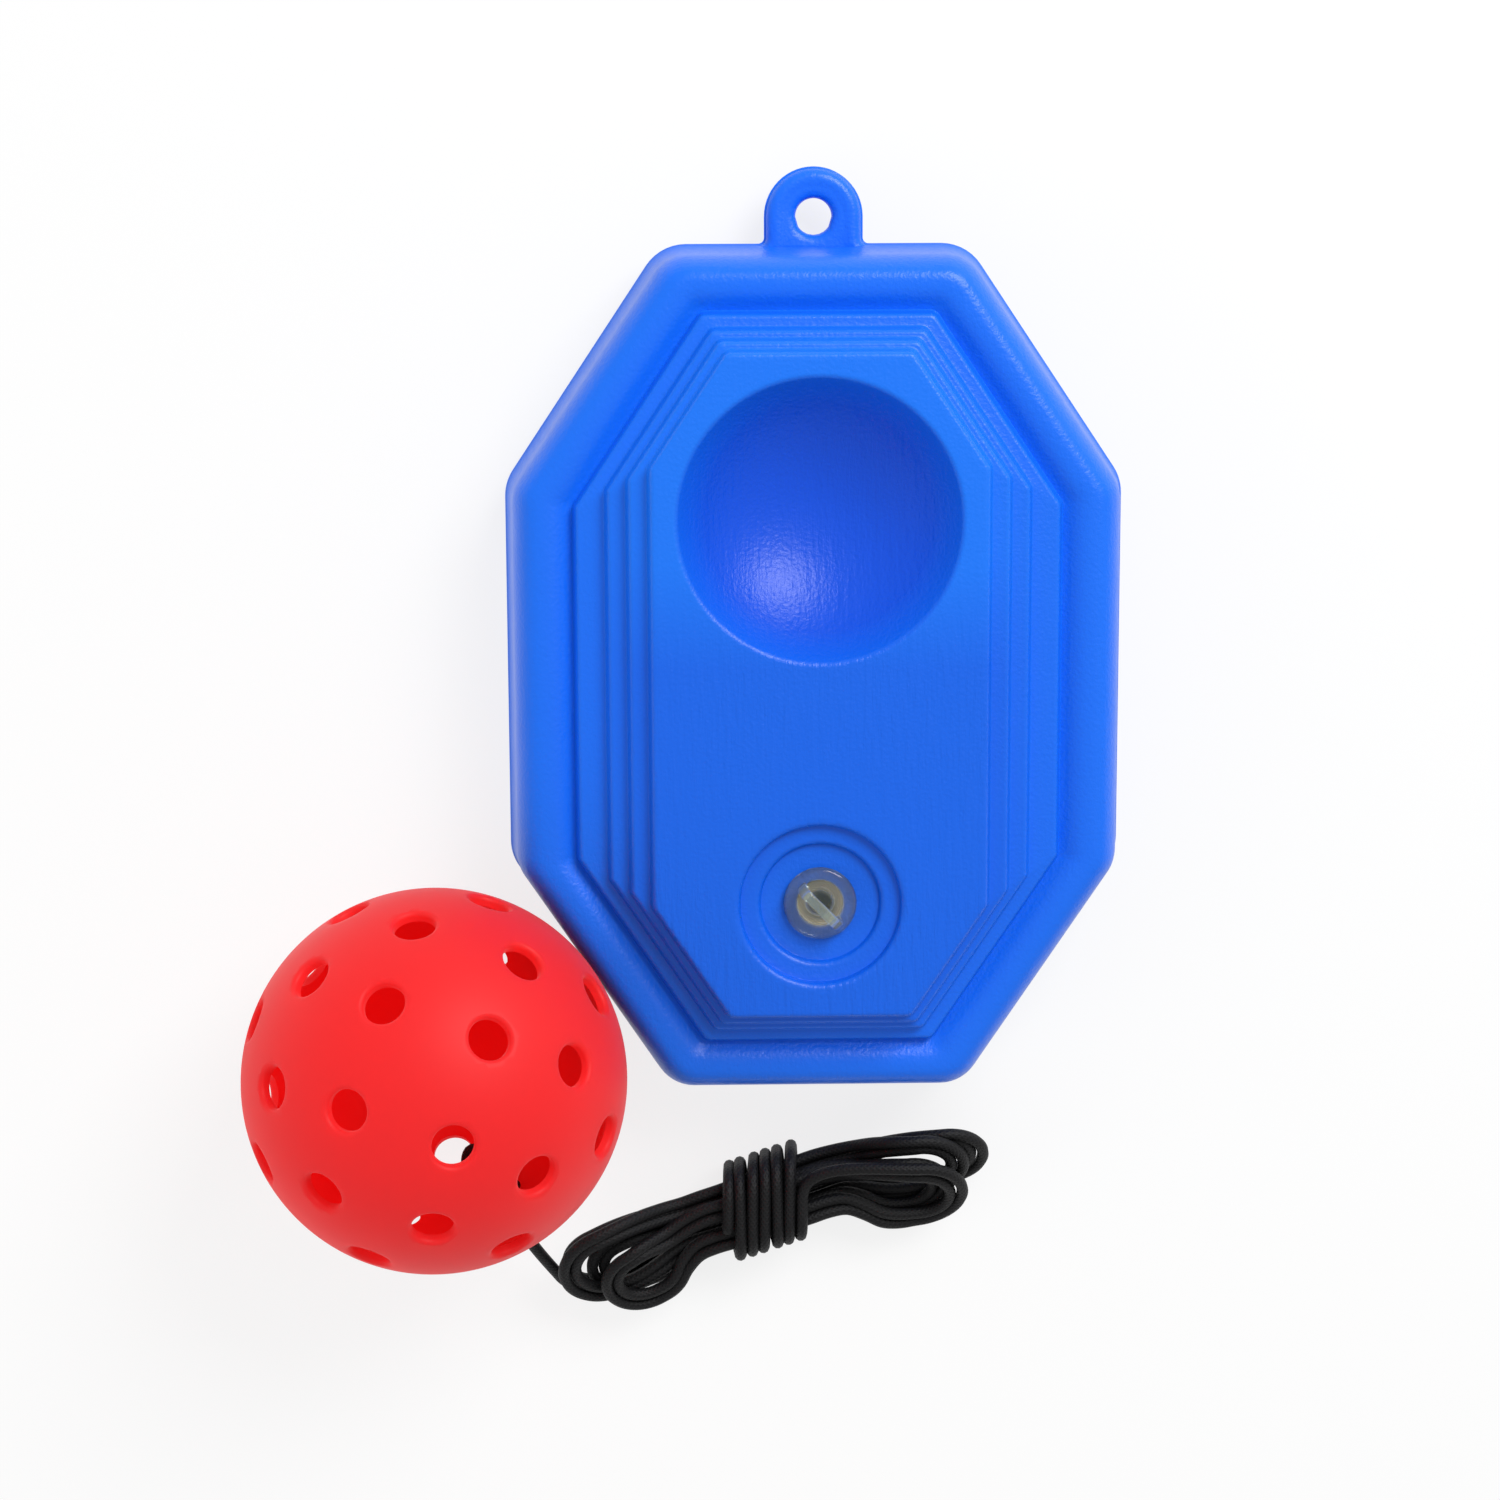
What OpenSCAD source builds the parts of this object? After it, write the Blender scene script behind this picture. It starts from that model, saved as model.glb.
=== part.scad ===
// Pickleball rebound trainer: a hollow moulded base that is filled with water or sand,
// a clear filler plug with a tie loop, and a holed ball on an elastic cord made up into a hank.
// The base lies flat on the floor, its face up (+Z) and its hanging tab toward +Y.
// The origin is on the floor, below the middle of the base's body.

/* [Base] */
// Width of the base body
base_w = 120; // [116:0.5:124]
// Length of the base body, without its tab
base_l = 165; // [160:0.5:170]
// Height of the plateau above the floor
base_h = 39; // [37:0.5:42]
// Wall of the hollow moulding
wall = 2; // [1.6:0.1:2.2]
// Height of the parting line, where the body is widest
parting_z = 8; // [6:0.5:9]
// Width of each slanted corner
corner_w = 30.5; // [28:0.5:32]
// Length of each slanted corner
corner_l = 45.5; // [43:0.5:48]
// Radius of the body's corners in plan
corner_r = 9; // [7:0.5:11]
// Width of the rim along the sides
rim_side = 13.5; // [12.5:0.1:14.5]
// Width of the rim at the two ends
rim_end = 12; // [11:0.1:13]
// Height of the rim's crest above the floor
rim_z = 29; // [28:0.5:30]
// Depth of the groove inside the rim
groove = 2; // [1.6:0.1:2.4]

/* [Steps] */
// Number of steps from the groove up to the plateau
steps = 4; // [3:1:5]
// Width of the lowest tread against each of the others
low_tread = 1.5; // [1:0.1:1.8]
// Width of the flight of steps along the sides
flight_side = 15.3; // [14:0.1:16]
// Width of the flight of steps at the two ends
flight_end = 7.2; // [6.5:0.1:8]
// Width of the flight of steps at the slanted corners
flight_corner = 8.1; // [7.5:0.1:8.7]

/* [Ball recess] */
// Diameter of the recess at its mouth
recess_d = 54; // [50:0.5:55]
// Radius of the recess, a little less than the ball's, which rests on its edge
recess_r = 33; // [32:0.5:34.5]
// Place of the recess along the base
recess_y = 32; // [31:0.5:33]
// Radius of the soft edge of the recess
recess_lip = 1.5; // [1.2:0.1:1.8]

/* [Filler and plug] */
// Place of the filler along the base
filler_y = -41.5; // [-42.5:0.5:-40.5]
// Diameter of the filler bore
filler_d = 9.2; // [8.6:0.1:9.8]
// Diameter of the seat's outer ring
seat_d = 30.6; // [29:0.2:31.5]
// Diameter of the seat's inner ring
seat_inner_d = 22.8; // [21:0.2:24]
// Diameter of the plug's flange
flange_d = 14; // [13:0.2:15]
// Clear height under the plug's tie loop
loop_h = 4.6; // [4.4:0.1:5.2]

/* [Hanging tab] */
// Width of the tab
tab_w = 18.4; // [17:0.2:20]
// Thickness of the tab
tab_t = 5; // [4:0.2:6]
// Diameter of the hanging hole
tab_hole_d = 7; // [6:0.2:8]
// Distance of the hole from the end of the body
tab_reach = 5.5; // [5:0.1:6]

/* [Ball] */
// Diameter of the ball
ball_d = 74; // [73:0.2:75]
// Wall of the ball
ball_wall = 2; // [1.8:0.1:2.4]
// Diameter of each hole
hole_d = 7.9; // [7:0.1:8.4]

/* [Cord] */
// Diameter of the elastic cord
cord_d = 2.4; // [2.2:0.1:2.5]
// Loops in each layer of the hank
loops = 2; // [2:1:3]
// Turns of the cord around the waist of the hank
wraps = 6; // [4:1:6]

/* [Hidden] */
$fn = 64;
base_blue = "#2268EE";
ball_red = "#FF3235";
clear_vinyl = "#E6ECEA";
cord_black = "#1A1A1C";

// Plan of the body: an octagon as half width, half length and the reach of its slanted sides
slant = norm([corner_w, corner_l]);
slant_x = corner_l / slant;
slant_y = corner_w / slant;
slant_a = atan2(slant_y, slant_x);
body_plan = [base_w / 2, base_l / 2, slant_x * base_w / 2 + slant_y * (base_l / 2 - corner_l)];
rim_plan = [rim_side, rim_end, (rim_side + rim_end) / 2];
flight_plan = [flight_side, flight_end, flight_corner];
groove_z = rim_z - groove;
rise = (base_h - groove_z) / steps;
nose = 0.07;
nosing = [[0, 0], [0.3, 0.75], [0.6, 0.95], [1, 1]];
tread = (1 - nose) / (steps - 2 + low_tread);
function riser(k) = k < 1 ? 0 : (low_tread + k - 1) * tread;
foot_r = 4;
shoulder_z = 20;
shoulder = 0.11;
step_corner_r = 2;
corner_cuts = 4;

// Ball recess: a spherical bowl whose edge is rounded into the plateau
bowl_z = base_h + sqrt(pow(recess_r, 2) - pow(recess_d / 2, 2));
lip_z = base_h - recess_lip;
lip_x = sqrt(pow(recess_r + recess_lip, 2) - pow(bowl_z - lip_z, 2));
lip_a = atan2(bowl_z - lip_z, -lip_x);

// Filler seat and plug
ring_depth = 2;
seat_depth = 3.5;
seat_z = base_h - seat_depth;
soft = 1.2;
plug_gap = 0.1;
flange_t = 1.8;
stem_r = filler_d / 2 - plug_gap;
stem_bore_r = 3;
stem_l = 9;
strap_w = 1.6;
strap_t = 1.3;
loop_inner = 7.9;
loop_turn = -45;

// Hanging tab
tab_y = base_l / 2 + tab_reach;
tab_fillet = 1.5;
tab_soft = 0.8;

// Outside of the rim from its shoulder (0 degrees) to its crest (90): how far in, and how high
function shoulder_in(a) = 0.5 - (0.5 - shoulder) * cos(a);
function shoulder_up(a) = shoulder_z + (rim_z - shoulder_z) * sin(a);

// Ball, on the floor beside the slanted side at the front left, just clear of the rim
ball_r = ball_d / 2;
ball_gap = 0.5;
ball_along = 21.4;
ball_out = body_plan[2] + ball_gap + max([
    for (a = [0:5:90])
        sqrt(pow(ball_r, 2) - pow(ball_r - shoulder_up(a), 2)) - shoulder_in(a) * rim_plan[2]
]);
ball_at = [
    ball_along * slant_y - ball_out * slant_x,
    -ball_along * slant_x - ball_out * slant_y,
    ball_r
];
ball_tilt = [-17, -1, 0];
ball_spin = 26.4;
bevel = 0.8;
hole_rings = [[23.5, 4, 0], [50, 8, 22.5], [73, 8, 0]];
back_turn = -22.5;
cord_hole = [130, 270];

// Cord: the knot inside the ball, the free lead and the hank
cord_r = cord_d / 2;
knot_r = 3.4;
knot_pitch = 2.9;
knot_turns = 2.25;
knot_depth = 4.2;
cord_gap = 0.3;
cord_sag = hole_d / 2 - cord_r - cord_gap;
lead_sides = 8;
hank_sides = 6;
hank_at = [-6, -base_l / 2 - 33.5];
hank_turn = 18.4;
run = 31;
pitch = 3.15;
layer = 3;
layers = 4;
climb = 0.09;
inner_half = 5.2;
outer_half = inner_half + loops * pitch;
waist_pitch = 2.96;
waist_gap = 0.5;
waist_flat = 10.5;
waist_fade = 20.5;
lift_fade = 10;
left_reach = [3, -1, 1.5, -2.5];
right_reach = [-2, 2.5, -3, 1];
left_fan = [-0.1, 0.05, -0.03, 0.11];
right_fan = [0.07, -0.06, 0.08, -0.04];
floor_gap = 0.05;
bottom_z = cord_r + floor_gap;
loop_rings = 24;

function unit(v) = v / norm(v);
function mirrored(points, mx, my) = [for (p = points) [p[0] * mx, p[1] * my]];
function backward(list) = [for (i = [len(list) - 1:-1:0]) list[i]];

// One round-cornered octagon at height z, counter-clockwise from the +X side
function octagon(plan, r, z) =
    let (
        hx = plan[0] - r,
        hy = plan[1] - r,
        reach = plan[2] - r,
        side = [hx, (reach - slant_x * hx) / slant_y],
        end = [(reach - slant_y * hy) / slant_x, hy],
        quarter = concat(
            [for (i = [0:corner_cuts]) let (a = slant_a * i / corner_cuts)
                side + r * [cos(a), sin(a)]],
            [for (i = [0:corner_cuts]) let (a = slant_a + (90 - slant_a) * i / corner_cuts)
                end + r * [cos(a), sin(a)]]
        ),
        flat = concat(
            quarter,
            backward(mirrored(quarter, -1, 1)),
            mirrored(quarter, -1, -1),
            backward(mirrored(quarter, 1, -1))
        )
    )
    [for (p = flat) [p[0], p[1], z]];

// A level of the moulding: f goes from the outline (0) to the groove (1), g on to the plateau (1)
function level(f, g, z, inset = 0) =
    octagon(
        body_plan - f * rim_plan - g * flight_plan - [inset, inset, inset],
        max(1.2, corner_r * (1 - f) + step_corner_r * f - inset),
        z
    );

// Levels of the moulding from the floor to the plateau, drawn in by a wall for the hollow inside
function moulding(inset, cuts) = concat(
    [for (i = [0:cuts]) let (a = 90 - 90 * i / cuts)
        level(foot_r / rim_side * (1 - cos(a)), 0, inset + foot_r * (1 - sin(a)), inset)],
    [level(0, 0, parting_z, inset)],
    [for (i = [0:cuts]) let (a = 90 * i / cuts)
        level(shoulder_in(a), 0, shoulder_up(a) - inset, inset)],
    [for (i = [1:cuts]) let (f = 0.5 + 0.5 * i / cuts)
        level(f, 0, groove_z - inset + groove * (1 + cos(360 * (f - 0.5))) / 2, inset)],
    [for (k = [0:steps - 1], part = nosing)
        if (k > 0 || part[0] > 0)
            level(1, riser(k) + part[0] * nose, groove_z - inset + (k + part[1]) * rise, inset)]
);

// A closed solid through a stack of rings that have the same number of points
module loft(rings) {
    n = len(rings[0]);
    last = len(rings) - 1;
    polyhedron(
        points = [for (ring = rings, p = ring) p],
        faces = concat(
            [[for (j = [0:n - 1]) j]],
            [[for (j = [n - 1:-1:0]) last * n + j]],
            [for (i = [0:last - 1], j = [0:n - 1], half = [0, 1])
                let (a = i * n + j, b = i * n + (j + 1) % n)
                half == 0 ? [a, a + n, b] : [b, a + n, b + n]]
        ),
        convexity = 8
    );
}

// Directions and side vectors along a route, carried on from one ring to the next without twist
function heading(route, i) =
    unit(route[min(i + 1, len(route) - 1)] - route[max(i - 1, 0)]);
function square_to(v, t) = unit(v - (v * t) * t);
function sides_along(route, start) = [
    for (
        i = 0, s = square_to(start, heading(route, 0));
        i < len(route);
        i = i + 1, s = i < len(route) ? square_to(s, heading(route, i)) : s
    ) s
];

// Round tube swept along a route
module tube(route, r, count, start = [0, 0, 1]) {
    s = sides_along(route, start);
    loft([
        for (i = [0:len(route) - 1])
            let (t = heading(route, i), c = cross(t, s[i]))
            [for (k = [0:count - 1]) let (a = 360 * k / count) route[i] + r * (cos(a) * s[i] + sin(a) * c)]
    ]);
}

// Outline of the bowl cutter, from its axis over the rounded edge down to the bottom
module bowl_profile() {
    lip = [for (i = [0:4]) let (a = 90 + (lip_a - 90) * i / 4)
        [lip_x + recess_lip * cos(a), lip_z + recess_lip * sin(a)]];
    bowl = [for (i = [1:10]) let (a = (lip_a - 180) + (-90 - (lip_a - 180)) * i / 10)
        [recess_r * cos(a), bowl_z + recess_r * sin(a)]];
    polygon(concat([[0, base_h + 1], [lip_x, base_h + 1]], lip, [for (p = bowl) [abs(p[0]), p[1]]]));
}

// Outline of the seat cutter: two rings, each a step lower, with soft edges
module seat_profile() {
    ring = seat_d / 2;
    inner = seat_inner_d / 2;
    ring_z = base_h - ring_depth;
    polygon(concat(
        [[0, base_h + 1], [ring + soft, base_h + 1]],
        [for (i = [0:3]) let (a = 90 + 30 * i) [ring + soft + soft * cos(a), base_h - soft + soft * sin(a)]],
        [[ring, ring_z], [inner + soft, ring_z]],
        [for (i = [1:3]) let (a = 90 + 30 * i) [inner + soft + soft * cos(a), ring_z - soft + soft * sin(a)]],
        [[inner, seat_z], [0, seat_z]]
    ));
}

// Tab with a round end, filleted into the body
module tab_outline() {
    half = tab_w / 2;
    root = base_l / 2;
    translate([0, tab_y])
        circle(half);
    translate([-half, root - rim_end / 2])
        square([tab_w, tab_reach + rim_end / 2]);
    for (side = [-1, 1])
        difference() {
            translate([side * (half + tab_fillet / 2), root + tab_fillet / 2 - 1])
                square([tab_fillet, tab_fillet + 2], center = true);
            translate([side * (half + tab_fillet), root + tab_fillet])
                circle(tab_fillet);
        }
}

module tab_hole() {
    translate([0, tab_y, parting_z - tab_t])
        cylinder(d = tab_hole_d, h = 2 * tab_t);
    for (face = [-1, 1])
        translate([0, tab_y, parting_z + face * (tab_t / 2 - tab_soft)])
            rotate([face < 0 ? 180 : 0, 0, 0])
                cylinder(r1 = tab_hole_d / 2, r2 = tab_hole_d / 2 + 1.5 * tab_soft, h = 1.5 * tab_soft);
}

// Room inside the moulding, kept off the bowl and the filler seat by a wall
module hollow() {
    difference() {
        loft(moulding(wall, 2));
        translate([0, recess_y, bowl_z])
            sphere(recess_r + wall, $fn = 128);
        translate([0, filler_y, seat_z - wall])
            cylinder(d = seat_d + 2 * wall, h = base_h);
    }
}

module base_shell() {
    color(base_blue)
        difference() {
            union() {
                loft(moulding(0, 4));
                translate([0, 0, parting_z - tab_t / 2])
                    linear_extrude(tab_t)
                        tab_outline();
            }
            hollow();
            translate([0, recess_y, 0])
                rotate_extrude($fn = 128)
                    bowl_profile();
            translate([0, filler_y, 0])
                rotate_extrude($fn = 96)
                    seat_profile();
            translate([0, filler_y, seat_z - 3 * wall])
                cylinder(d = filler_d, h = 4 * wall);
            tab_hole();
        }
}

// Half section of the plug: a flange with a round edge on a hollow ribbed stem
module plug_profile() {
    edge = flange_t / 2;
    groove_r = stem_r - 0.5;
    difference() {
        union() {
            square([flange_d / 2 - edge, flange_t]);
            translate([flange_d / 2 - edge, edge])
                intersection() {
                    circle(edge);
                    translate([0, -edge])
                        square([edge, flange_t]);
                }
            translate([0, -stem_l])
                square([groove_r, stem_l]);
            for (rib = [0:2])
                translate([0, -1.6 - 3 * rib])
                    square([stem_r, 1.6]);
        }
        translate([-1, -stem_l - 1])
            square([1 + stem_bore_r, stem_l]);
    }
}

// Tie loop: a strap on two legs with rounded shoulders
module tie_loop() {
    half = loop_inner / 2;
    rotate([90, 0, 0])
        linear_extrude(strap_w, center = true)
            difference() {
                union() {
                    translate([-half - strap_t, -0.2])
                        square([2 * (half + strap_t), 0.2 + loop_h]);
                    translate([-half, loop_h])
                        square([2 * half, strap_t]);
                    for (side = [-1, 1])
                        translate([side * half, loop_h])
                            circle(strap_t);
                }
                translate([-half, 0])
                    square([2 * half, loop_h]);
            }
}

module filler_plug() {
    color(clear_vinyl, 0.6)
        translate([0, filler_y, seat_z])
            rotate([0, 0, loop_turn]) {
                rotate_extrude()
                    plug_profile();
                translate([0, 0, flange_t])
                    tie_loop();
            }
}

// Turns a child from the pole of the ball to one of its holes
module at_hole(colatitude, azimuth) {
    translate(ball_at)
        rotate(ball_tilt)
            rotate([0, colatitude, azimuth + ball_spin])
                children();
}

// One hole through the wall of the ball, with a soft bevel outside
module ball_hole() {
    translate([0, 0, ball_r - 3 * ball_wall])
        cylinder(d = hole_d, h = 4 * ball_wall);
    translate([0, 0, ball_r - 1.2 * bevel])
        cylinder(r1 = hole_d / 2, r2 = hole_d / 2 + 2 * bevel, h = 2 * bevel);
}

module ball_shell() {
    color(ball_red)
        difference() {
            translate(ball_at)
                difference() {
                    sphere(ball_r, $fn = 96);
                    sphere(ball_r - ball_wall, $fn = 96);
                }
            for (ring = hole_rings, i = [0:1])
                for (k = [0:ring[1] - 1])
                    at_hole(i == 0 ? ring[0] : 180 - ring[0], ring[2] + i * back_turn + 360 * k / ring[1])
                        ball_hole();
        }
}

// Stopper knot: a short coil of the cord around itself, too wide for the hole, its tail at the top
knot_low = -knot_pitch * knot_turns;
knot_foot = [
    [-1.7, 3.2, -0.6], [-2.9, 2.1, -1.4], [-3.1, 0.6, -2.4], [-2.5, -0.6, -3.5], [-1.4, -1.1, -4.3],
    [-0.3, -0.9, -4.1], [0.1, -0.4, -3], [0, 0, -1.5], [0, 0, 1], [0, 0, 3.2]
];
knot_route = concat(
    [for (a = [0:30:360 * knot_turns]) [knot_r * cos(a), knot_r * sin(a), -knot_pitch * a / 360]],
    [for (p = knot_foot) [p[0], p[1], knot_low + p[2]]],
    [[0, 0, -cord_r / 2], [0, 0, cord_r], [0, 0, cord_d]]
);

module cord_knot() {
    color(cord_black)
        translate(cord_sag * cord_down)
            at_hole(cord_hole[0], cord_hole[1])
                translate([0, 0, ball_r - knot_depth])
                    tube(knot_route, cord_r, hank_sides, [1, 0, 0]);
}

// Direction of the cord's hole from the middle of the ball, and the low side of the hole, where the cord lies
function turned_x(v, a) = [v[0], v[1] * cos(a) - v[2] * sin(a), v[1] * sin(a) + v[2] * cos(a)];
function turned_y(v, a) = [v[0] * cos(a) + v[2] * sin(a), v[1], v[2] * cos(a) - v[0] * sin(a)];
cord_azimuth = cord_hole[1] + ball_spin;
cord_way = turned_y(
    turned_x(
        [sin(cord_hole[0]) * cos(cord_azimuth), sin(cord_hole[0]) * sin(cord_azimuth), cos(cord_hole[0])],
        ball_tilt[0]
    ),
    ball_tilt[1]
);
cord_down = square_to([0, 0, -1], cord_way);

// Places in the hank's own frame, u along it and v across it, brought to the floor
function clamp(x, low, high) = max(low, min(high, x));
function on_floor(p) = [
    hank_at[0] + p[0] * cos(hank_turn) - p[1] * sin(hank_turn),
    hank_at[1] + p[0] * sin(hank_turn) + p[1] * cos(hank_turn),
    p[2]
];

// How far the loops are drawn in, and lifted off the floor, at the waist
function waist(u) = (1 + cos(180 * clamp((abs(u) - waist_flat) / waist_fade, 0, 1))) / 2;
function lifted(u) = layer * clamp((waist_flat + lift_fade - abs(u)) / lift_fade, 0, 1);
function drawn(w, u) =
    let (low = cord_r + waist_gap / 2 + (w - inner_half) * waist_pitch / pitch)
    w + (low - w) * waist(u);

// Half width and layer of the loops after t turns: the spiral goes in and out, a layer higher each time
function spiral(t) =
    let (k = floor(t / loops), part = t - k * loops)
    outer_half - pitch * (k % 2 == 0 ? part : loops - part);
function climbed(t) =
    let (k = round(t / loops))
    k < 1 || k >= layers
        ? floor(t / loops)
        : k - 0.5 + sin(180 * clamp((t - k * loops) / climb, -0.5, 0.5)) / 2;
function at_layer(list, c) =
    let (i = floor(c), j = min(i + 1, layers - 1))
    list[i] + (list[j] - list[i]) * (c - i);

// One place on the loops: an upper run, the left end, a lower run and the right end, fanned out by layers
function loop_place(t) =
    let (
        turn = (t + 0.125) * 4,
        part = floor(turn) % 4,
        x = turn - floor(turn),
        w = spiral(t),
        c = climbed(t),
        flat = part == 0 ? [run * (1 - 2 * x), drawn(w, run * (1 - 2 * x))]
            : part == 1 ? [-run - w * sin(180 * x), w * cos(180 * x)]
            : part == 2 ? [run * (2 * x - 1), -drawn(w, run * (2 * x - 1))]
            : [run + w * sin(180 * x), -w * cos(180 * x)],
        far = abs(flat[0]),
        side = sign(flat[0]),
        reach = at_layer(side < 0 ? left_reach : right_reach, c),
        fan = at_layer(side < 0 ? left_fan : right_fan, c),
        free_from = waist_flat + lift_fade
    )
    [
        flat[0] + side * reach * clamp((far - free_from) / (run - free_from), 0, 1),
        flat[1] + fan * max(0, far - waist_flat),
        bottom_z + lifted(far) + layer * c
    ];

// The turns around the waist: a rounded box, from the middle of its top
wrap_gap = 0.6;
wrap_pitch = 2.9;
wrap_upper = drawn(outer_half, 0);
wrap_lower = drawn(outer_half - pitch / 2, 0);
wrap_mid = (wrap_upper - wrap_lower) / 2;
wrap_half = (wrap_upper + wrap_lower) / 2 + cord_d + wrap_gap;
wrap_low = bottom_z;
wrap_high = bottom_z + layers * layer + cord_d + wrap_gap;
wrap_corner = 3;
wrap_cuts = 24;
wrap_from = wraps * wrap_pitch / 2;
function wrap_place(k) =
    let (
        side = floor(4 * k / wrap_cuts) % 4,
        i = k % (wrap_cuts / 4),
        mid_z = (wrap_low + wrap_high) / 2,
        cv = wrap_half - wrap_corner,
        cz = (wrap_high - wrap_low) / 2 - wrap_corner,
        corner = [[-cv, cz], [-cv, -cz], [cv, -cz], [cv, cz]][side],
        a = 90 + 90 * side + 22.5 * (i - 1),
        flat = i == 0
            ? [[0, cz + wrap_corner], [-wrap_half, 0], [0, -cz - wrap_corner], [wrap_half, 0]][side]
            : corner + wrap_corner * [cos(a), sin(a)]
    )
    [wrap_from - wrap_pitch * k / wrap_cuts, wrap_mid + flat[0], mid_z + flat[1]];

// The cord goes from the last loop over the top of the bundle to the first turn around the waist
crossing = [
    [27.5, 10.1, 10.9], [23.5, 9.9, 12.6], [19.5, 9.2, 14.6],
    [16, 7.8, 15.9], [13, 5.6, 16.4], [10.8, 3, 16.3]
];
first_loop = 0.25;
last_loop = layers * loops - 0.125;
hank_route = [
    for (p = concat(
        [for (t = [first_loop:1 / loop_rings:last_loop + 0.01]) loop_place(t)],
        crossing,
        [for (k = [0:wrap_cuts * wraps + 1]) wrap_place(k)]
    )) on_floor(p)
];

// The free lead: out of the ball along its hole, down to the floor and on to the hank
lead_points = [[-49.8, 2.2, 13.4], [-47.2, -3, 8.6], [-45, -7.8, 4.4], [-43.3, -12, 2]];
lead_route = concat(
    [for (out = [cord_d - knot_depth, 1, 4]) ball_at + cord_sag * cord_down + (ball_r + out) * cord_way],
    [for (p = lead_points) [hank_at[0], hank_at[1], 0] + p],
    [hank_route[0] - 1.1 * cord_d * unit(hank_route[1] - hank_route[0]), hank_route[0]]
);

module cord_lead() {
    color(cord_black)
        tube(lead_route, cord_r, lead_sides);
}

// Least distance between two stretches of a route that aren't neighbours, less the cord itself
function self_gap(route, skip) = min([
    for (i = [0:len(route) - 1 - skip]) min([for (j = [i + skip:len(route) - 1]) norm(route[i] - route[j])])
]) - cord_d;
function total(list) = list * [for (x = list) 1];
function route_length(route) = total([for (i = [1:len(route) - 1]) norm(route[i] - route[i - 1])]);

module cord_hank() {
    echo(hank_gap = self_gap(hank_route, 5));
    echo(hank_length = route_length(hank_route), lead_length = route_length(lead_route));
    color(cord_black)
        tube(hank_route, cord_r, hank_sides);
}

base_shell();
filler_plug();
ball_shell();
cord_knot();
cord_lead();
cord_hank();
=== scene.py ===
import math
import bmesh
import bpy
from mathutils import Matrix, Vector


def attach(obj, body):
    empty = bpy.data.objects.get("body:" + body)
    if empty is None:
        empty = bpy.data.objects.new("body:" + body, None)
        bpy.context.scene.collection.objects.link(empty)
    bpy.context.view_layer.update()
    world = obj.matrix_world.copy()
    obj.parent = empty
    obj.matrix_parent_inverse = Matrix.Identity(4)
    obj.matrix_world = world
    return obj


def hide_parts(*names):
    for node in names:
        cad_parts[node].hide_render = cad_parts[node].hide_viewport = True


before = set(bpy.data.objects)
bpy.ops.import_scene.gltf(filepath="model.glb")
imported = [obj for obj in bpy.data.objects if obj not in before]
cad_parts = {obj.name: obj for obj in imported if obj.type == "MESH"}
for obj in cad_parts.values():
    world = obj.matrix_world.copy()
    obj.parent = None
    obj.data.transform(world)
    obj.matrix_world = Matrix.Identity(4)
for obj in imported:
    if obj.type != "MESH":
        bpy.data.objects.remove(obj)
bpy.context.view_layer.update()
mm = 0.001  # sizes in this file are in mm, and Blender's are in m
mergeWithin = 0.0001  # points nearer than this become one
print("frame loaded:", ", ".join(sorted(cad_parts)))


def linear(code):
    # an sRGB hex code as Blender's linear colour
    parts = [int(code[i:i + 2], 16) / 255 for i in (1, 3, 5)]
    return [c / 12.92 if c <= 0.04045 else ((c + 0.055) / 1.055) ** 2.4 for c in parts] + [1.0]


def addNode(tree, kind, feeds=None, **settings):
    # one node, its settings, and for each input a value or the socket that feeds it
    made = tree.nodes.new(kind)
    for name, value in settings.items():
        setattr(made, name, value)
    for name, value in (feeds or {}).items():
        if isinstance(value, bpy.types.NodeSocket):
            tree.links.new(value, made.inputs[name])
        else:
            made.inputs[name].default_value = value
    return made


def newMaterial(name):
    made = bpy.data.materials.new(name)
    made.use_nodes = True
    made.node_tree.nodes.clear()
    return made, made.node_tree


def meshObject(name, points, faces, material=None):
    data = bpy.data.meshes.new(name)
    data.from_pydata([Vector(p) * mm for p in points], [], faces)
    data.update()
    made = bpy.data.objects.new(name, data)
    bpy.context.scene.collection.objects.link(made)
    if material:
        data.materials.append(material)
    return made


def ringFaces(rows, count, start=0):
    # quads between rings of points that follow each other
    faces = []
    for i in range(rows - 1):
        for j in range(count):
            a = start + i * count + j
            b = start + i * count + (j + 1) % count
            faces.append((a, b, b + count, a + count))
    return faces


def capFaces(rows, count):
    # one face over the first ring and one over the last
    return [tuple(reversed(range(count))), tuple(range((rows - 1) * count, rows * count))]


def arcPoints(x, y, r, start, end, cuts):
    # places on an arc about x, y, its angles in degrees
    angles = [math.radians(start + (end - start) * i / cuts) for i in range(cuts + 1)]
    return [(x + r * math.cos(a), y + r * math.sin(a)) for a in angles]


def lathe(profile, y, count):
    # a profile of radius and height turned about an upright axis at y
    turn = [2 * math.pi * j / count for j in range(count)]
    return [(r * math.cos(a), y + r * math.sin(a), z) for r, z in profile for a in turn]


def tidyNormals(thing, sharp=None):
    work = bmesh.new()
    work.from_mesh(thing.data)
    bmesh.ops.remove_doubles(work, verts=work.verts, dist=mergeWithin * mm)
    bmesh.ops.recalc_face_normals(work, faces=work.faces)
    for face in work.faces:
        face.smooth = True
    if sharp:
        limit = math.radians(sharp)
        for edge in work.edges:
            edge.smooth = len(edge.link_faces) != 2 or edge.calc_face_angle(0) <= limit
    work.to_mesh(thing.data)
    work.free()


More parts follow.
